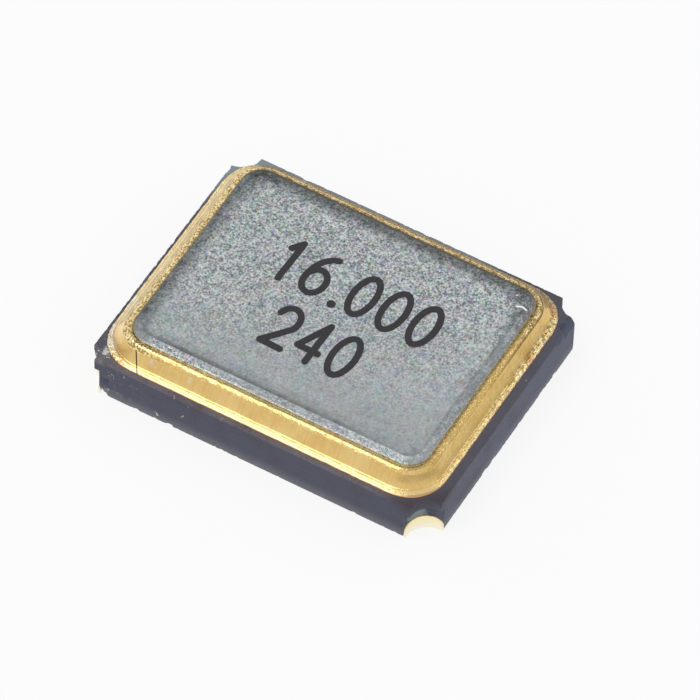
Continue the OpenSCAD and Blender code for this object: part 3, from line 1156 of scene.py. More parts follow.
@dataclass
class CeramicBody:
    """The three-layer ceramic body: notched and chipped corners, and the cavity for the quartz."""

    layout: Layout
    stations: Stations = Stations(long_side=300, short_side=220, corner=36)
    foot_round: float = 0.004
    score_height: float = 0.06
    top_round: float = 0.001
    notches: tuple[float, ...] = (0.16, 0.18, 0.155, 0.21)
    rim_notches: tuple[float, ...] = (0.16, 0.21, 0.11, 0.16)
    ring_wall: float = 0.18
    cavity_step: float = 0.035
    cavity_corner: float = 0.12
    ledge: float = 0.55
    far_ledge: float = 0.28
    chip_depth: float = 0.022
    chip_grain: float = 0.07
    chip_fade: float = 0.025
    fired_depth: float = 0.0006
    fired_grain: float = 0.05
    level_steps: int = 14
    bites: tuple[tuple[Point, float], ...] = (
        ((1.68, 1.02, 0.44), 0.15),
        ((1.66, 0.86, 0.47), 0.11),
        ((1.67, 0.72, 0.47), 0.08),
        ((1.5, 1.3, 0.44), 0.06),
        ((-1.48, -1.3, 0.0), 0.1),
        ((-1.64, -1.09, 0.3), 0.07),
        ((-1.42, -1.27, 0.2), 0.045),
        ((-0.82, -1.27, -0.01), 0.045),
        ((-1.62, -1.0, 0.02), 0.05),
    )

    def outline(self, inset: float, notches: Sequence[float]) -> np.ndarray:
        """The body's outline with a round notch cut into each corner.

        Args:
            inset: How far the sides lie inside the full body.
            notches: Radius of each notch, about the corners of the printed pattern.

        Returns:
            Counter-clockwise points, as many for any inset and notches.
        """
        arcs = []
        for corner, radius in enumerate(notches):
            middle, angles = self.layout.notch(corner, radius, inset, self.stations.corner)
            arcs.append(middle + radius * round_about(angles))
        return self._with_sides(arcs)

    def _with_sides(self, arcs: list[np.ndarray]) -> np.ndarray:
        """Joins corners by evenly stepped sides.

        Args:
            arcs: The points of the four corners.

        Returns:
            The closed outline.
        """
        runs = []
        for k, arc in enumerate(arcs):
            steps = self.stations.side(k)
            share = np.arange(1, steps)[:, None] / steps
            following = arcs[(k + 1) % 4][0]
            runs += [arc, arc[-1] + (following - arc[-1]) * share]
        return np.concatenate(runs)

    def recess(self, low: np.ndarray, high: np.ndarray) -> np.ndarray:
        """A rounded rectangle that is stepped as the outline is.

        Args:
            low: Its lowest corner.
            high: Its highest corner.

        Returns:
            Counter-clockwise points.
        """
        middle, half = (low + high) / 2, (high - low) / 2 - self.cavity_corner
        arcs = []
        for k, signs in enumerate(CORNER_SIGNS):
            circle = quarter_turn(k, self.stations.corner)
            arcs.append(middle + half * signs + self.cavity_corner * circle)
        return self._with_sides(arcs)

    def worn(self, outline: np.ndarray, z: float, low: float, high: float) -> np.ndarray:
        """Puts an outline at a height, with chips near the wall's low and high edges.

        Args:
            outline: The outline.
            z: Its height.
            low: Height of the wall's foot.
            high: Height of the wall's top.

        Returns:
            The points of the worn outline.
        """
        points = raised(outline, z)
        near_edge = math.exp(-min(z - low, high - z) / self.chip_fade)
        chips = np.maximum(lumps(points, self.chip_grain, 3.7) - 0.25, 0.0)
        nicks = np.maximum(lumps(points, self.chip_grain / 3, 8.1) - 0.2, 0.0)
        unevenness = self.fired_depth * (1 + lumps(points, self.fired_grain, 5.0))
        cut = self.chip_depth * near_edge * (chips + 0.5 * nicks) + unevenness
        points[:, :2] -= outward(outline) * cut[:, None]
        return self.bitten(points)

    def bitten(self, points: np.ndarray) -> np.ndarray:
        """Pushes points that lie in a bite sideways to its uneven surface.

        Args:
            points: Points of the wall, which are moved in place.

        Returns:
            The same points.
        """
        for middle, radius in self.bites:
            away = points - middle
            flat = np.linalg.norm(away[:, :2], axis=1)
            rough = radius * (1 + 0.2 * lumps(points, self.fired_grain, 2.9))
            across = np.sqrt(np.maximum(rough**2 - away[:, 2] ** 2, 0.0))
            inside = flat < across
            inward = -np.array(middle[:2]) / np.linalg.norm(middle[:2])
            lead = away[:, :2] @ inward
            side = np.sqrt(np.maximum(across**2 - (flat**2 - lead**2), 0.0))
            push = np.where(inside, side - lead, 0.0)
            points[:, :2] += inward * push[:, None]
        return points

    def wall(self, low: float, high: float, ledge_z: float) -> list[np.ndarray]:
        """Loops of the outer wall, whose notches differ below and above the ledge.

        Args:
            low: Height of the wall's foot.
            high: Height of the wall's top.
            ledge_z: Height of the ledge, where the notches change.

        Returns:
            The loops from the foot up, with two at the ledge's height.
        """
        shares = np.array([0, 0.08, 0.2, 0.4, 0.7, 1.0]) * self.score_height
        middle = np.linspace(low + self.score_height, high - self.score_height, self.level_steps)
        levels = np.concatenate([low + shares, middle[1:-1], high - shares[::-1]])
        levels = np.sort(np.append(levels[abs(levels - ledge_z) > 0.004], ledge_z))
        loops = []
        for z in levels:
            inset = self.foot_round * max(0.0, 1 - (z - low) / self.score_height) ** 2
            inset += self.top_round * max(0.0, 1 - (high - z) / (0.4 * self.score_height)) ** 2
            if z <= ledge_z:
                loops.append(self.worn(self.outline(inset, self.notches), z, low, high))
            if z >= ledge_z:
                loops.append(self.worn(self.outline(inset, self.rim_notches), z, low, high))
        return loops

    def build(self) -> bpy.types.Object:
        """Builds the body from loops: underside, outer wall, rim, cavity wall, ledges and floor.

        Returns:
            The body.
        """
        low, high = (float(corner[2]) for corner in box_of("ceramic_base"))
        ledge_z = self.layout.z("mounting_pad_1", False)
        floor_z = self.layout.z("terminal_1", True)
        wall = self.wall(low, high, ledge_z)
        cavity = half_size("seal_ring") - self.ring_wall - self.cavity_step
        cavity_low, cavity_high = self.layout.pattern - cavity, self.layout.pattern + cavity
        mouth = raised(self.recess(cavity_low, cavity_high), high)
        rim = [wall[-1] + (mouth - wall[-1]) * share for share in (0.06, 0.15, 0.4)]
        pit = self.recess(cavity_low + [self.ledge, 0], cavity_high - [self.far_ledge, 0])
        inside = [mouth, raised(mouth[:, :2], ledge_z), raised(pit, ledge_z), raised(pit, floor_z)]
        underside = shrunk(wall[0], (0.3, 0.97))
        return lofted("ceramic_body", underside + wall + rim + inside, False)


@dataclass
class Terminal:
    """A solder pad under a corner, and the plating that climbs the wall of that corner's notch."""

    layout: Layout
    number: int
    corner: int
    notch: float
    climb: float
    pad_size: tuple[float, float] = (0.9, 0.75)
    pad_inset: float = 0.05
    pad_radius: float = 0.06
    pad_step: float = 0.015
    index_cut: float = 0.15
    plating: float = 0.012
    plating_bond: float = 0.004
    end_height: float = 0.08
    steps: int = 40

    def pad_outline(self) -> np.ndarray:
        """Outline of the pad, with its rounded corners, its notch and, on pad 1, its cut corner.

        Returns:
            Counter-clockwise points.
        """
        signs, size = np.array(CORNER_SIGNS[self.corner]), np.array(self.pad_size)
        middle = self.layout.pattern + half_size("ceramic_base") * signs
        centre = middle - self.pad_inset * signs - signs * size / 2
        half = size / 2 - self.pad_radius
        points = []
        for k, around in enumerate(CORNER_SIGNS):
            points += list(centre + half * around + self.pad_radius * quarter_turn(k, 8))
        dense = []
        for start, end in zip(points, points[1:] + points[:1]):
            count = max(1, int(np.linalg.norm(end - start) / self.pad_step))
            dense += [start + (end - start) * i / count for i in range(count)]
        outline = np.array(dense)
        away = outline - middle
        reach = np.linalg.norm(away, axis=1)
        close = reach < self.notch
        outline[close] = middle + away[close] * (self.notch / reach[close])[:, None]
        if self.number == 1:
            past = (outline - centre - size / 2 + self.index_cut).sum(axis=1) - self.index_cut
            outline -= np.maximum(past, 0.0)[:, None] / 2
        return outline

    def plating_loops(self) -> list[np.ndarray]:
        """The plating on the notch's wall, which climbs highest in its middle.

        Returns:
            Its sections, from one end of the wall to the other.
        """
        middle, angles = self.layout.notch(self.corner, self.notch, 0.002, self.steps)
        foot = np.array([*middle, 0.0])
        inner, outer = self.notch - self.plating, self.notch + self.plating_bond
        loops = []
        for angle, share in zip(angles, np.linspace(-1, 1, self.steps + 1)):
            arm = np.array([math.cos(angle), math.sin(angle), 0.0])
            top = self.end_height
            top += (self.climb - self.end_height) * math.sqrt(max(0.0, 1 - share**2))
            top += 0.004 * noise.noise(Vector((share * 7, self.number, 0.3)))
            section = [(outer, 0.002), (inner, 0.0), (inner, top * 0.5), (inner + 0.001, top - 0.012)]
            section += [(inner + 0.004, top - 0.003), (inner + 0.009, top), (outer, top)]
            loops.append(np.array([foot + arm * reach + [0, 0, z] for reach, z in section]))
        return loops

    def build(self) -> bpy.types.Object:
        """Builds the pad and the plating as one piece.

        Returns:
            The terminal.
        """
        outline = self.pad_outline()
        top = self.layout.z("ceramic_base", False)
        middle = outline.mean(axis=0)
        inset = middle + (outline - middle) * 0.985
        pad = [raised(inset, 0.0), raised(outline, top * 0.35), raised(outline, top + 0.001)]
        shells = [shell(pad, False), shell(self.plating_loops(), False)]
        points = np.concatenate([p for p, _ in shells])
        faces = shells[0][1] + [[i + len(shells[0][0]) for i in face] for face in shells[1][1]]
        return make_piece(f"solder_terminal_{self.number}", points, faces)


@dataclass
class SealingFrame:
    """The gold-plated seam: printed band, braze, ring and weld bead."""

    layout: Layout
    ring_wall: float = 0.18
    swell: float = 0.0137
    band_taper: float = 0.027
    lip: float = 0.037
    fillet_hollow: float = 0.0028
    band_inner: float = 0.06
    wander_grain: float = 0.12
    lip_grain: float = 0.026
    lip_bumps: float = 0.004
    crest_inset: float = 0.052
    crest_run: float = 0.036
    crest_drop: float = 0.016
    bead_grain: float = 0.024
    bead_bumps: float = 0.0035
    bead_ripple: float = 0.0015
    bead_sink: float = 0.002

    def band(self) -> bpy.types.Object:
        """Builds the printed and plated band on the ceramic rim, whose edge slopes up to the braze.

        Returns:
            The band.
        """
        low, high = self.layout.z("seal_band", False), self.layout.z("seal_band", True)
        path = self.layout.path()
        inner, outer = self.band_inner, self._band_reach(path)
        section = [(inner, high), (inner, low), (outer, low), (outer - 0.001, low + 0.003)]
        section += [(outer - 0.4 * self.band_taper, (low + high) / 2), (outer - self.band_taper, high)]
        loops = path.swept(section)
        for loop in loops[2:]:
            loop[:, :2] -= self._wander(loop, self.wander_grain, 0.005)
        return lofted("metal_band", loops, True, 60.0)

    def _band_reach(self, path: FramePath) -> np.ndarray:
        """How far the printed band goes out at each station.

        Args:
            path: The line that the frame follows.

        Returns:
            Its reach: more at the corners and the front, less at the back and the left.
        """
        spread = 0.01 * (path.facing(0.15, -1.0) - 0.5) - 0.007 * path.facing(-0.4, 1.0) ** 2
        return self.layout.reach("seal_band") + self.swell * path.corner_share() + spread

    def _wander(self, loop: np.ndarray, grain: float, depth: float) -> np.ndarray:
        """Small moves that make a printed or flowed edge uneven.

        Args:
            loop: The edge.
            grain: Length of its bumps.
            depth: Their depth.

        Returns:
            How far each point moves towards the inside.
        """
        _, directions = self.layout.path().rays()
        amount = 0.5 * depth * (1 + lumps(loop, grain, 1.3) + 0.5 * lumps(loop, grain / 3, 2.2))
        return directions * amount[:, None]

    def _braze_section(self, path: FramePath) -> Section:
        """The braze's section: a sloping lip on the band, then a slightly hollow slope.

        Args:
            path: The line that the frame follows.

        Returns:
            Pairs of reach and height, from the inner foot round to the top.
        """
        low, high = self.layout.z("braze", False), self.layout.z("braze", True)
        ring = self.layout.reach("seal_ring")
        inner, lip_top = ring - self.ring_wall, self.layout.z("seal_ring", False)
        outer = self._band_reach(path)
        start = outer - self.band_taper
        section = [(inner, lip_top), (inner, low), (start + 0.002, low - 0.001)]
        foot, top = np.array([outer.min() - self.lip, lip_top]), np.array([ring + 0.004, high])
        for share in np.linspace(0.15, 0.9, 5):
            section.append((start + (foot[0] - start) * share, low + (lip_top - low) * share))
        chord = top - foot
        along = chord / np.linalg.norm(chord)
        hollow = self.fillet_hollow * np.array([-along[1], along[0]])
        for share in np.linspace(0.02, 1.0, 15):
            section.append(foot + chord * share + hollow * math.sin(math.pi * share) * (1.3 - 0.6 * share))
        return [*section, top + 0.012 * along, (ring - 0.03, lip_top)]

    def braze(self) -> bpy.types.Object:
        """Builds the braze, whose lip is grainiest on the right.

        Returns:
            The braze.
        """
        path = self.layout.path()
        loops = path.swept(self._braze_section(path))
        grainy = 0.12 + 0.88 * path.facing(1.0, 0.35) ** 2
        for number, loop in enumerate(loops[2:-2]):
            loop[:, :2] -= self._wander(loop, self.wander_grain, 0.004)
            on_lip = 1.0 if 0 < number < 7 else 0.2
            loop[:, 2] += self.lip_bumps * on_lip * grainy * lumps(loop, self.lip_grain, 4.0)
        return lofted("braze_fillet", loops, True, 60.0)

    def ring(self) -> bpy.types.Object:
        """Builds the ring that the lid is welded to, with its top edge rounded.

        Returns:
            The ring.
        """
        low, high = self.layout.z("seal_ring", False), self.layout.z("seal_ring", True)
        outer = self.layout.reach("seal_ring")
        inner = outer - self.ring_wall
        section = [(inner, high), (inner, low), (outer, low), (outer, high - 0.03)]
        section += [(outer - 0.0005, high - 0.01), (outer - 0.002, high)]
        loops = self.layout.path().swept(section)
        for loop in loops[3:]:
            loop[:, :2] -= self._wander(loop, 0.2, 0.002)
        return lofted("weld_ring", loops, True)

    def bead(self) -> bpy.types.Object:
        """Builds the weld bead: a ridge of small grains between the ring's edge and the lid.

        Returns:
            The bead.
        """
        low, high = self.layout.z("weld_bead", False), self.layout.z("weld_bead", True)
        ring = self.layout.reach("seal_ring")
        crest = self.layout.reach("weld_bead") - self.crest_inset
        rise = high - low
        section = [(crest - 0.038, low), (ring - 0.003, low), (ring + 0.001, low - 0.003)]
        for share in np.linspace(0.04, 1.0, 14):
            up = rise * math.sin(share * math.pi / 2)
            section.append((ring - (ring - crest) * share, low + up))
        for share in np.linspace(0.15, 1.0, 7):
            section.append((crest - self.crest_run * share, high - self.crest_drop * share**1.6))
        path = self.layout.path(Stations(420, 320, 64))
        loops = path.swept(section)
        centre_line = path.loop(crest, low - 0.02)
        coarse = 0.5 + path.facing(-0.6, 1.0)
        for number, loop in enumerate(loops[3:]):
            on_crest = min(1.0, number / 7)
            grains = lumps(loop, self.bead_grain, 6.0) + 0.6 * lumps(loop, self.bead_grain / 2, 7.0)
            ripple = self.bead_ripple * lumps(loop, self.wander_grain, 9.0) - self.bead_sink
            away = loop - centre_line
            away /= np.linalg.norm(away, axis=1, keepdims=True)
            lift = on_crest * coarse * (self.bead_bumps * grains - self.bead_sink) + ripple
            loop += away * lift[:, None]
        return lofted("weld_seam", loops, True, 80.0)


SECTION_SHARES = (0.0, 0.2, 0.4, 0.6, 0.8, 0.95, 1.0)
CREASE_RUNS = (0.004, 0.01, 0.017, 0.025, 0.035, 0.05, 0.07, 0.095)


@dataclass
class Lid:
    """The stamped metal lid with its rolled border and its slightly domed field."""

    layout: Layout
    shift: tuple[float, float] = (0.0, 0.012)
    edge_thickness: float = 0.046
    edge_radius: float = 0.007
    near_border: float = 0.064
    near_slope_deg: float = 9.5
    near_roll: float = 0.6
    crease: float = 0.011
    crease_run: float = 0.035
    far_border: float = 0.065
    far_slope_deg: float = 12.5
    far_round: float = 0.1
    dome: float = 0.002
    turn_run: float = 0.3
    settle_run: float = 0.09

    def near_section(self) -> list[tuple[float, float, float]]:
        """The border at the front and right, which drops into the field by a crease.

        Returns:
            Distance in from the edge, rise over the border and drop of the crease at each line.
        """
        ridge = self.near_border * math.tan(math.radians(self.near_slope_deg))
        section = [(share * self.near_border, share * ridge, 0.0) for share in SECTION_SHARES]
        for run in CREASE_RUNS:
            drop = self.crease * (1 - math.exp(-run / self.crease_run))
            section.append((self.near_border + run, ridge, drop))
        return section

    def far_section(self) -> list[tuple[float, float]]:
        """The border at the back and left, which rounds over slowly into the field.

        Returns:
            Distance in from the edge and rise at each line.
        """
        slope = math.tan(math.radians(self.far_slope_deg))
        section = [(share * self.far_border, share * self.far_border * slope) for share in SECTION_SHARES]
        for run in CREASE_RUNS:
            along = min(run / CREASE_RUNS[-1], 1.0)
            rise = self.far_round * slope * (along - 0.46 * along**2)
            section.append((self.far_border + self.far_round * along, self.far_border * slope + rise))
        return section

    def border(self, path: FramePath, outer: float, edge: float) -> Section:
        """The border's lines, which change from the near section to the far one round the lid.

        Args:
            path: The line that the lid's edge follows.
            outer: Reach of the lid's edge.
            edge: Height of the lid's edge.

        Returns:
            Reach and height of each line.
        """
        near = self._near_share(path)
        front = np.clip(path.facing(0.1, -1.0) * 2 - 1, 0.0, 1.0)
        near_end = front * np.clip(path.rays()[0][:, 0], 0.0, 1.0)
        rolled = 1 + self.near_roll * near_end
        lines = []
        for (near_in, rise, drop), (far_in, far_up) in zip(self.near_section(), self.far_section()):
            inward = near_in * near + far_in * (1 - near)
            near_up = rise * rolled - drop * (0.35 + 0.65 * front) * (1 - 0.5 * near_end)
            up = near_up * near + far_up * (1 - near)
            lines.append((outer - self.edge_radius - inward, edge + up))
        return lines

    def build(self) -> bpy.types.Object:
        """Builds the lid: underside, rounded edge, border, crease, and a slightly domed field.

        Returns:
            The lid.
        """
        low, outer = self.layout.z("lid", False), self.layout.reach("lid")
        edge = low + self.edge_thickness
        path = self.layout.path(shift=self.shift)
        rounding = self.edge_radius
        profile = [(outer, low), (outer, edge - rounding)]
        profile += [(outer - 0.3 * rounding, edge - 0.3 * rounding), *self.border(path, outer, edge)]
        start = len(profile) - 1
        end, rim_z = profile[-1]
        profile += [(end * share, rim_z) for share in (0.6, 0.3)]
        loops = path.swept(profile)
        inner = path.loop(0.0, rim_z)
        loops += [inner, *self._towards_middle(inner)]
        self._dome_field(loops[start:], path, path.arc + end.min())
        return lofted("lid_plate", loops, False)

    def _dome_field(self, loops: list[np.ndarray], path: FramePath, half: np.ndarray) -> None:
        """Lifts the field towards its middle.

        Args:
            loops: The field's loops, which are moved in place.
            path: The line that the lid's edge follows.
            half: Half of the field's length and width.
        """
        for loop in loops:
            inset = np.maximum(half - abs(loop[:, :2] - path.centre), 0.0)
            broad = 1 - (1 - np.minimum(inset / half, 1.0)) ** 2
            loop[:, 2] += self.dome * broad.prod(axis=1)

    def _near_share(self, path: FramePath) -> np.ndarray:
        """How much the near section counts at each station.

        Args:
            path: The line that the lid's edge follows.

        Returns:
            1 along the front and right and 0 along the back and left, with a slow change between.
        """
        x, y = (path.loop(0.0, 0.0)[:, :2] - path.centre).T
        past_near = np.minimum(path.arc[0] - x, y + path.arc[1])
        past_far = np.minimum(x + path.arc[0], path.arc[1] - y)
        share = np.clip((past_far - past_near) / (2 * self.turn_run) + 0.5, 0.0, 1.0)
        return share * share * (3 - 2 * share)

    def _towards_middle(self, loop: np.ndarray) -> list[np.ndarray]:
        """Copies of a loop drawn in towards the lid's middle, whose height turns even on the way.

        Args:
            loop: The field's outer loop.

        Returns:
            The copies, from the outermost in.
        """
        steps = np.linalg.norm(np.roll(loop, -1, axis=0) - loop, axis=1)
        along = np.cumsum(steps)
        apart = abs(along[:, None] - along[None, :])
        apart = np.minimum(apart, along[-1] - apart)
        copies = shrunk(loop, np.linspace(0.98, 0.04, 26))
        mean = loop[:, 2].mean()
        for copy in copies:
            depth = np.abs(copy[:, :2] - loop[:, :2]).max() / 2
            weights = steps / (apart**2 + depth**2)
            spread = weights @ loop[:, 2] / weights.sum(axis=1)
            copy[:, 2] = mean + (spread - mean) * math.exp(-depth / self.settle_run)
        return copies


class Glyph(Enum):
    """Strokes of the plain characters, on a cell one unit wide and high."""

    ONE = "1"
    TWO = "2"
    FOUR = "4"
    SIX = "6"
    ZERO = "0"
    POINT = "."

    def strokes(self) -> list[np.ndarray]:
        """The centre lines of the strokes.

        Returns:
            One run of points a stroke.
        """
        shapes: dict[Glyph, Callable[[], list[np.ndarray]]] = {
            Glyph.ONE: lambda: [np.array([[0.25, 0.78], [0.6, 1.0], [0.6, 0.0]])],
            Glyph.TWO: lambda: [
                np.concatenate([bow(0.5, 0.7, 0.5, 0.3, 165, -38), [[0.0, 0.0], [1.0, 0.0]]])
            ],
            Glyph.FOUR: lambda: [np.array([[0.74, 0.0], [0.74, 1.0], [0.0, 0.28], [1.0, 0.28]])],
            Glyph.SIX: lambda: [bow(0.5, 0.31, 0.5, 0.31, 0, 360), bow(0.95, 0.31, 0.95, 0.69, 180, 97)],
            Glyph.ZERO: lambda: [bow(0.5, 0.5, 0.5, 0.5, 0, 360)],
            Glyph.POINT: lambda: [np.array([[0.5, 0.0], [0.5, 0.0]])],
        }
        return shapes[self]()


def bow(x: float, y: float, wide: float, high: float, start: float, end: float) -> np.ndarray:
    """Points along an elliptical arc about a middle, between two angles in degrees."""
    angles = np.radians(np.linspace(start, end, 25))
    return np.column_stack([x + wide * np.cos(angles), y + high * np.sin(angles)])


@dataclass
class Marking:
    """The printed numbers on the lid: two lines of plain figures."""

    layout: Layout
    upper: str = "16.000"
    lower: str = "240"
    stroke: float = 0.056
    height: float = 0.47
    width: float = 0.245
    tilt_deg: float = -1.5
    thickness: float = 0.002
    cell: float = 0.0065
    margin: float = 0.02
    pitch: float = 0.287
    point_pitch: float = 0.135
    point_width: float = 0.09
    point_radius: float = 0.038
    sunk: float = 0.0035
    hidden: float = 0.003
    upper_start: tuple[float, float] = (-0.752, 0.068)
    lower_start: tuple[float, float] = (-0.432, -0.545)

    def cells(self) -> list[tuple[Glyph, float, float]]:
        """Sets out the characters.

        Returns:
            Each character with the left end and the foot of its cell, from the body's middle.
        """
        placed = []
        for text, (x, y) in ((self.upper, self.upper_start), (self.lower, self.lower_start)):
            for glyph in map(Glyph, text):
                placed.append((glyph, x, y))
                x += self.point_pitch if glyph is Glyph.POINT else self.pitch
        return placed

    def edge_distance(self, glyph: Glyph, points: np.ndarray, origin: np.ndarray) -> np.ndarray:
        """Distance from a character's ink.

        Args:
            glyph: The character.
            points: Where it is measured.
            origin: Left end and foot of the character's cell.

        Returns:
            The distance of each point, which is negative inside the ink.
        """
        scale = np.array([self.width - self.stroke, self.height - self.stroke])
        half = self.stroke / 2
        if glyph is Glyph.POINT:
            scale, half = np.array([self.point_width, self.height]), self.point_radius
        nearest = np.full(len(points), np.inf)
        for line in glyph.strokes():
            corners = origin + self.stroke / 2 + line * scale
            for start, end in zip(corners[:-1], corners[1:]):
                run = end - start
                share = np.clip((points - start) @ run / max(run @ run, 1e-12), 0, 1)
                away = points - start - share[:, None] * run
                nearest = np.minimum(nearest, np.linalg.norm(away, axis=1))
        return nearest - half

    def face(self, glyph: Glyph, origin: np.ndarray) -> tuple[np.ndarray, np.ndarray]:
        """Covers a character with small flat cells whose border is drawn onto the ink's edge.

        Args:
            glyph: The character.
            origin: Left end and foot of its cell.

        Returns:
            The points, and the numbers of each cell's four points.
        """
        across = np.arange(-self.margin, self.width + self.margin, self.cell)
        up = np.arange(-self.margin, self.height + self.margin, self.cell)
        grid = origin + np.stack(np.meshgrid(across, up, indexing="ij"), axis=-1)
        flat = grid.reshape(-1, 2)
        distance = self.edge_distance(glyph, flat, origin).reshape(grid.shape[:2])
        middle = (distance[:-1, :-1] + distance[1:, :-1] + distance[1:, 1:] + distance[:-1, 1:]) / 4
        number = np.arange(distance.size).reshape(distance.shape)
        corners = number[:-1, :-1], number[1:, :-1], number[1:, 1:], number[:-1, 1:]
        inked = np.stack(corners, axis=-1)[middle < 0]
        slope = np.stack(np.gradient(distance, self.cell), axis=-1).reshape(-1, 2)
        use = np.bincount(inked.ravel(), minlength=len(flat))
        rim = (use > 0) & (use < 4)
        flat[rim] -= slope[rim] * distance.ravel()[rim, None]
        kept = np.nonzero(use)[0]
        renumber = np.zeros(len(flat), int)
        renumber[kept] = np.arange(len(kept))
        return flat[kept], renumber[inked]

    def build(self) -> bpy.types.Object:
        """Builds all characters as one thin piece, turned a little as the print is.

        Returns:
            The marking.
        """
        faces, quads, count = [], [], 0
        for glyph, x, y in self.cells():
            points, cells = self.face(glyph, np.array([x, y]))
            faces.append(points)
            quads += (cells + count).tolist()
            count += len(points)
        turn = math.radians(self.tilt_deg)
        turned = np.array([[math.cos(turn), math.sin(turn)], [-math.sin(turn), math.cos(turn)]])
        flat = np.concatenate(faces) @ turned
        top = self.layout.z("lid", True) - self.sunk + self.thickness
        foot = top - self.thickness - self.hidden
        points = np.concatenate([raised(flat, top), raised(flat, foot)])
        edges = {(a, b) for q in quads for a, b in zip(q, q[1:] + q[:1])}
        walls = [[b, a, a + count, b + count] for a, b in edges if (b, a) not in edges]
        under = [[i + count for i in reversed(q)] for q in quads]
        return make_piece("marking", points, quads + walls + under)


@dataclass
class Crystal:
    """The whole part: makes the sub-assemblies and gives each its finish.

    Each terminal has the corner that it stands at and the height that its plating climbs to.
    """

    layout: Layout
    terminals: tuple[tuple[int, float], ...] = ((2, 0.19), (3, 0.145), (0, 0.16), (1, 0.165))
    inner_slots: tuple[tuple[str, Slot], ...] = (
        ("mounting_pad", Slot.GOLD),
        ("adhesive", Slot.SILVER),
        ("upper", Slot.SILVER),
        ("lower", Slot.SILVER),
        ("quartz", Slot.QUARTZ),
        ("feedthrough", Slot.TUNGSTEN),
        ("ground", Slot.TUNGSTEN),
        ("support", Slot.TUNGSTEN),
    )

    def build(self) -> None:
        """Builds and dresses every piece and CAD node."""
        layout = self.layout
        gold = BrazeGold("gold_braze", grain_depth=0.0015, lip_depth=9.0, glint_grain=0.034)
        weld = BeadGold("gold_bead", roughness=0.22, grain=0.017, grain_depth=0.007)
        pads = PadGold("gold_pads", light=(1.0, 0.88, 0.52), deep=(0.9, 0.72, 0.38), roughness=0.42)
        ink = PlainFinish("ink", (0.019, 0.017, 0.02), (0.037, 0.033, 0.037), 0.0, 0.6, 0.02, 0.001)
        frame_gold, pad_gold = gold.material(layout), pads.material(layout)
        body, seam = CeramicBody(layout), SealingFrame(layout)
        for piece, node, material, slot in (
            (body.build(), "ceramic_base", CeramicFinish().material(layout), Slot.CERAMIC),
            (seam.band(), "seal_band", frame_gold, Slot.GOLD),
            (seam.braze(), "braze", frame_gold, Slot.GOLD),
            (seam.ring(), "seal_ring", frame_gold, Slot.GOLD),
            (seam.bead(), "weld_bead", weld.material(layout), Slot.WELD),
            (Lid(layout).build(), "lid", LidFinish().material(layout), Slot.LID),
        ):
            self._put(piece, node, material)
        for number, (corner, climb) in enumerate(self.terminals, 1):
            terminal = Terminal(layout, number, corner, body.notches[corner], climb)
            self._put(terminal.build(), f"terminal_{number}", pad_gold)
        marking = Marking(layout).build()
        marking.data.materials.append(ink.material(layout))
        log.info("%s: two lines of plain figures", marking.name)
        self.dress_nodes(pad_gold)

    def _put(self, piece: bpy.types.Object, node: str, material: bpy.types.Material) -> None:
        """Lets a piece stand for its CAD node.

        Args:
            piece: The piece.
            node: Name of the node.
            material: What the piece is dressed in.
        """
        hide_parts(node)
        dress(piece, material)
        log.info("%s stands for %s", piece.name, node)

    def dress_nodes(self, pads: bpy.types.Material) -> None:
        """Gives the CAD nodes that stay on show their finishes.

        Args:
            pads: The terminals' gold, which the mounting pads share.
        """
        silver = PlainFinish("silver_film", (0.85, 0.85, 0.84), (0.7, 0.7, 0.69), 1.0, 0.35, 0.02, 0.001)
        tungsten = PlainFinish("tungsten", (0.25, 0.24, 0.23), (0.35, 0.34, 0.33), 1.0, 0.5, 0.02, 0.002)
        quartz = PlainFinish("quartz_plate", (0.8, 0.84, 0.86), (0.88, 0.91, 0.92), 0.0, 0.12, 0.05, 0.0005)
        materials = {
            Slot.GOLD: pads,
            Slot.SILVER: silver.material(self.layout),
            Slot.TUNGSTEN: tungsten.material(self.layout),
            Slot.QUARTZ: quartz.material(self.layout),
        }
        for name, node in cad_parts.items():
            for start, slot in self.inner_slots:
                if name.startswith(start):
                    dress(node, materials[slot])
                    log.info("%s keeps its CAD form", name)


# ---------------------------------------------------------------- studio


@dataclass(frozen=True)
class SkyPatch:
    """A soft round part of the sky that is brighter or darker than the rest."""

    towards: tuple[float, float, float]
    full_deg: float
    end_deg: float
    level: float


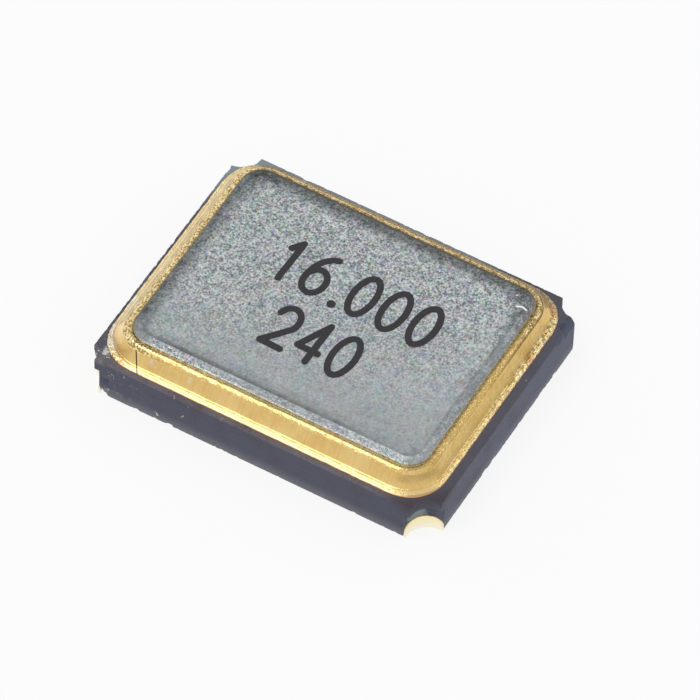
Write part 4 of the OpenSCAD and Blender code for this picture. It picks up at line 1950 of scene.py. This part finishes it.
@dataclass
class Studio:
    """Floor, lights, world and camera."""

    azimuth_deg: float = 28.26
    elevation_deg: float = 51.92
    roll_deg: float = 2.14
    distance: float = 64.97
    aim: tuple[float, float, float] = (0.0703, 0.1288, 0.073)
    lens: float = 411.4
    sensor: float = 36.0
    floor_size: float = 2000.0
    floor_gap: float = 0.001
    floor_glow: float = 0.85
    sky: tuple[tuple[float, float], ...] = (
        (0.0, 0.5),
        (0.17, 0.53),
        (0.45, 0.77),
        (0.65, 0.79),
        (0.82, 0.7),
        (1.0, 0.62),
    )
    patches: tuple[SkyPatch, ...] = (
        SkyPatch((-0.55, 0.78, 0.3), 17.0, 35.0, 0.17),
        SkyPatch((-0.86, 0.5, 0.02), 17.0, 31.0, 1.15),
        SkyPatch((-0.29, -0.85, 0.43), 14.0, 32.0, 0.75),
        SkyPatch((0.76, 0.54, 0.36), 11.0, 24.0, 0.54),
    )

    def floor(self) -> None:
        """A plain pale floor that keeps the part's shadow and shows white."""
        half = self.floor_size / 2 * MM
        mesh = bpy.data.meshes.new("floor")
        corners = [(-half, -half), (half, -half), (half, half), (-half, half)]
        mesh.from_pydata([(x, y, -self.floor_gap * MM) for x, y in corners], [], [(0, 1, 2, 3)])
        floor = bpy.data.objects.new("floor", mesh)
        bpy.context.scene.collection.objects.link(floor)
        material, graph = new_material("floor")
        path = graph.add("ShaderNodeLightPath").outputs
        seen = Value(graph, path["Is Camera Ray"]).above(Value(graph, path["Is Glossy Ray"]))
        seen = seen.above(Value(graph, path["Is Transmission Ray"]))
        diffuse = graph.add("ShaderNodeBsdfDiffuse", sockets={"Color": (0.9, 0.9, 0.9, 1.0)}).outputs[0]
        glow = graph.add("ShaderNodeEmission", sockets={"Color": (1.0, 1.0, 1.0, 1.0), "Strength": 1.0})
        sockets = {0: self.floor_glow * seen, 1: diffuse, 2: glow.outputs[0]}
        graph.surface(graph.add("ShaderNodeMixShader", sockets=sockets).outputs[0])
        mesh.materials.append(material)

    def world(self) -> None:
        """Soft light all round, brightest at middle heights, with darker and brighter patches."""
        world = bpy.data.worlds.new("World")
        bpy.context.scene.world = world
        world.use_nodes = True
        graph = Graph(world.node_tree)
        direction = graph.add("ShaderNodeTexCoord").outputs["Generated"]
        x, y, z = graph.axes(direction)
        stops = [(height, (level,) * 3) for height, level in self.sky]
        colour = graph.add("ShaderNodeValToRGB", {"stops": stops}, {0: z}).outputs[0]
        for patch in self.patches:
            aimed = Vector(patch.towards).normalized()
            closeness = x * aimed.x + y * aimed.y + z * aimed.z
            end, full = (math.cos(math.radians(angle)) for angle in (patch.end_deg, patch.full_deg))
            colour = graph.blend(closeness.step(end, full), colour, (patch.level,) * 3)
        light = graph.add("ShaderNodeBackground", sockets={"Color": colour, "Strength": 1.0})
        graph.add("ShaderNodeOutputWorld", sockets={"Surface": light.outputs[0]})

    def lamp(self, name: str, place: tuple[float, float, float], size: float, radiance: float) -> None:
        """A square soft lamp that faces the part.

        Args:
            name: Name of the lamp.
            place: Where it stands.
            size: Length of its side.
            radiance: How bright its face is, where 1 is white.
        """
        light = bpy.data.lights.new(name, "AREA")
        light.shape = "SQUARE"
        light.size = size * MM
        light.energy = radiance * math.pi * (size * MM) ** 2
        lamp = bpy.data.objects.new(name, light)
        lamp.location = Vector(place) * MM
        lamp.rotation_mode = "QUATERNION"
        lamp.rotation_quaternion = (-Vector(place)).to_track_quat("-Z", "Y")
        lamp.visible_camera = False
        bpy.context.scene.collection.objects.link(lamp)

    def camera(self) -> None:
        """The camera, turned about its own axis by the roll."""
        data = bpy.data.cameras.new("camera")
        data.lens, data.sensor_width = self.lens, self.sensor
        data.clip_start, data.clip_end = 0.001, 10.0
        camera = bpy.data.objects.new("camera", data)
        a, e = math.radians(self.azimuth_deg), math.radians(self.elevation_deg)
        back = Vector((math.sin(a) * math.cos(e), -math.cos(a) * math.cos(e), math.sin(e)))
        place = (Vector(self.aim) + back * self.distance) * MM
        turn = (-back).to_track_quat("-Z", "Y").to_matrix().to_4x4()
        roll = Matrix.Rotation(math.radians(self.roll_deg), 4, "Z")
        camera.matrix_world = Matrix.Translation(place) @ turn @ roll
        bpy.context.scene.collection.objects.link(camera)
        bpy.context.scene.camera = camera

    def build(self) -> None:
        """Sets up everything round the part."""
        bpy.context.scene.view_settings.view_transform = "Standard"
        self.floor()
        self.world()
        self.lamp("overhead", (-32.0, -43.0, 96.0), 68.0, 2.0)
        self.lamp("side", (55.0, 55.0, 77.0), 28.0, 2.2)
        self.camera()


def main() -> None:
    """Builds the part and the studio round it."""
    logging.basicConfig(level=logging.INFO, format="%(message)s")
    Crystal(Layout()).build()
    Studio().build()


if __name__ == "__main__":
    main()
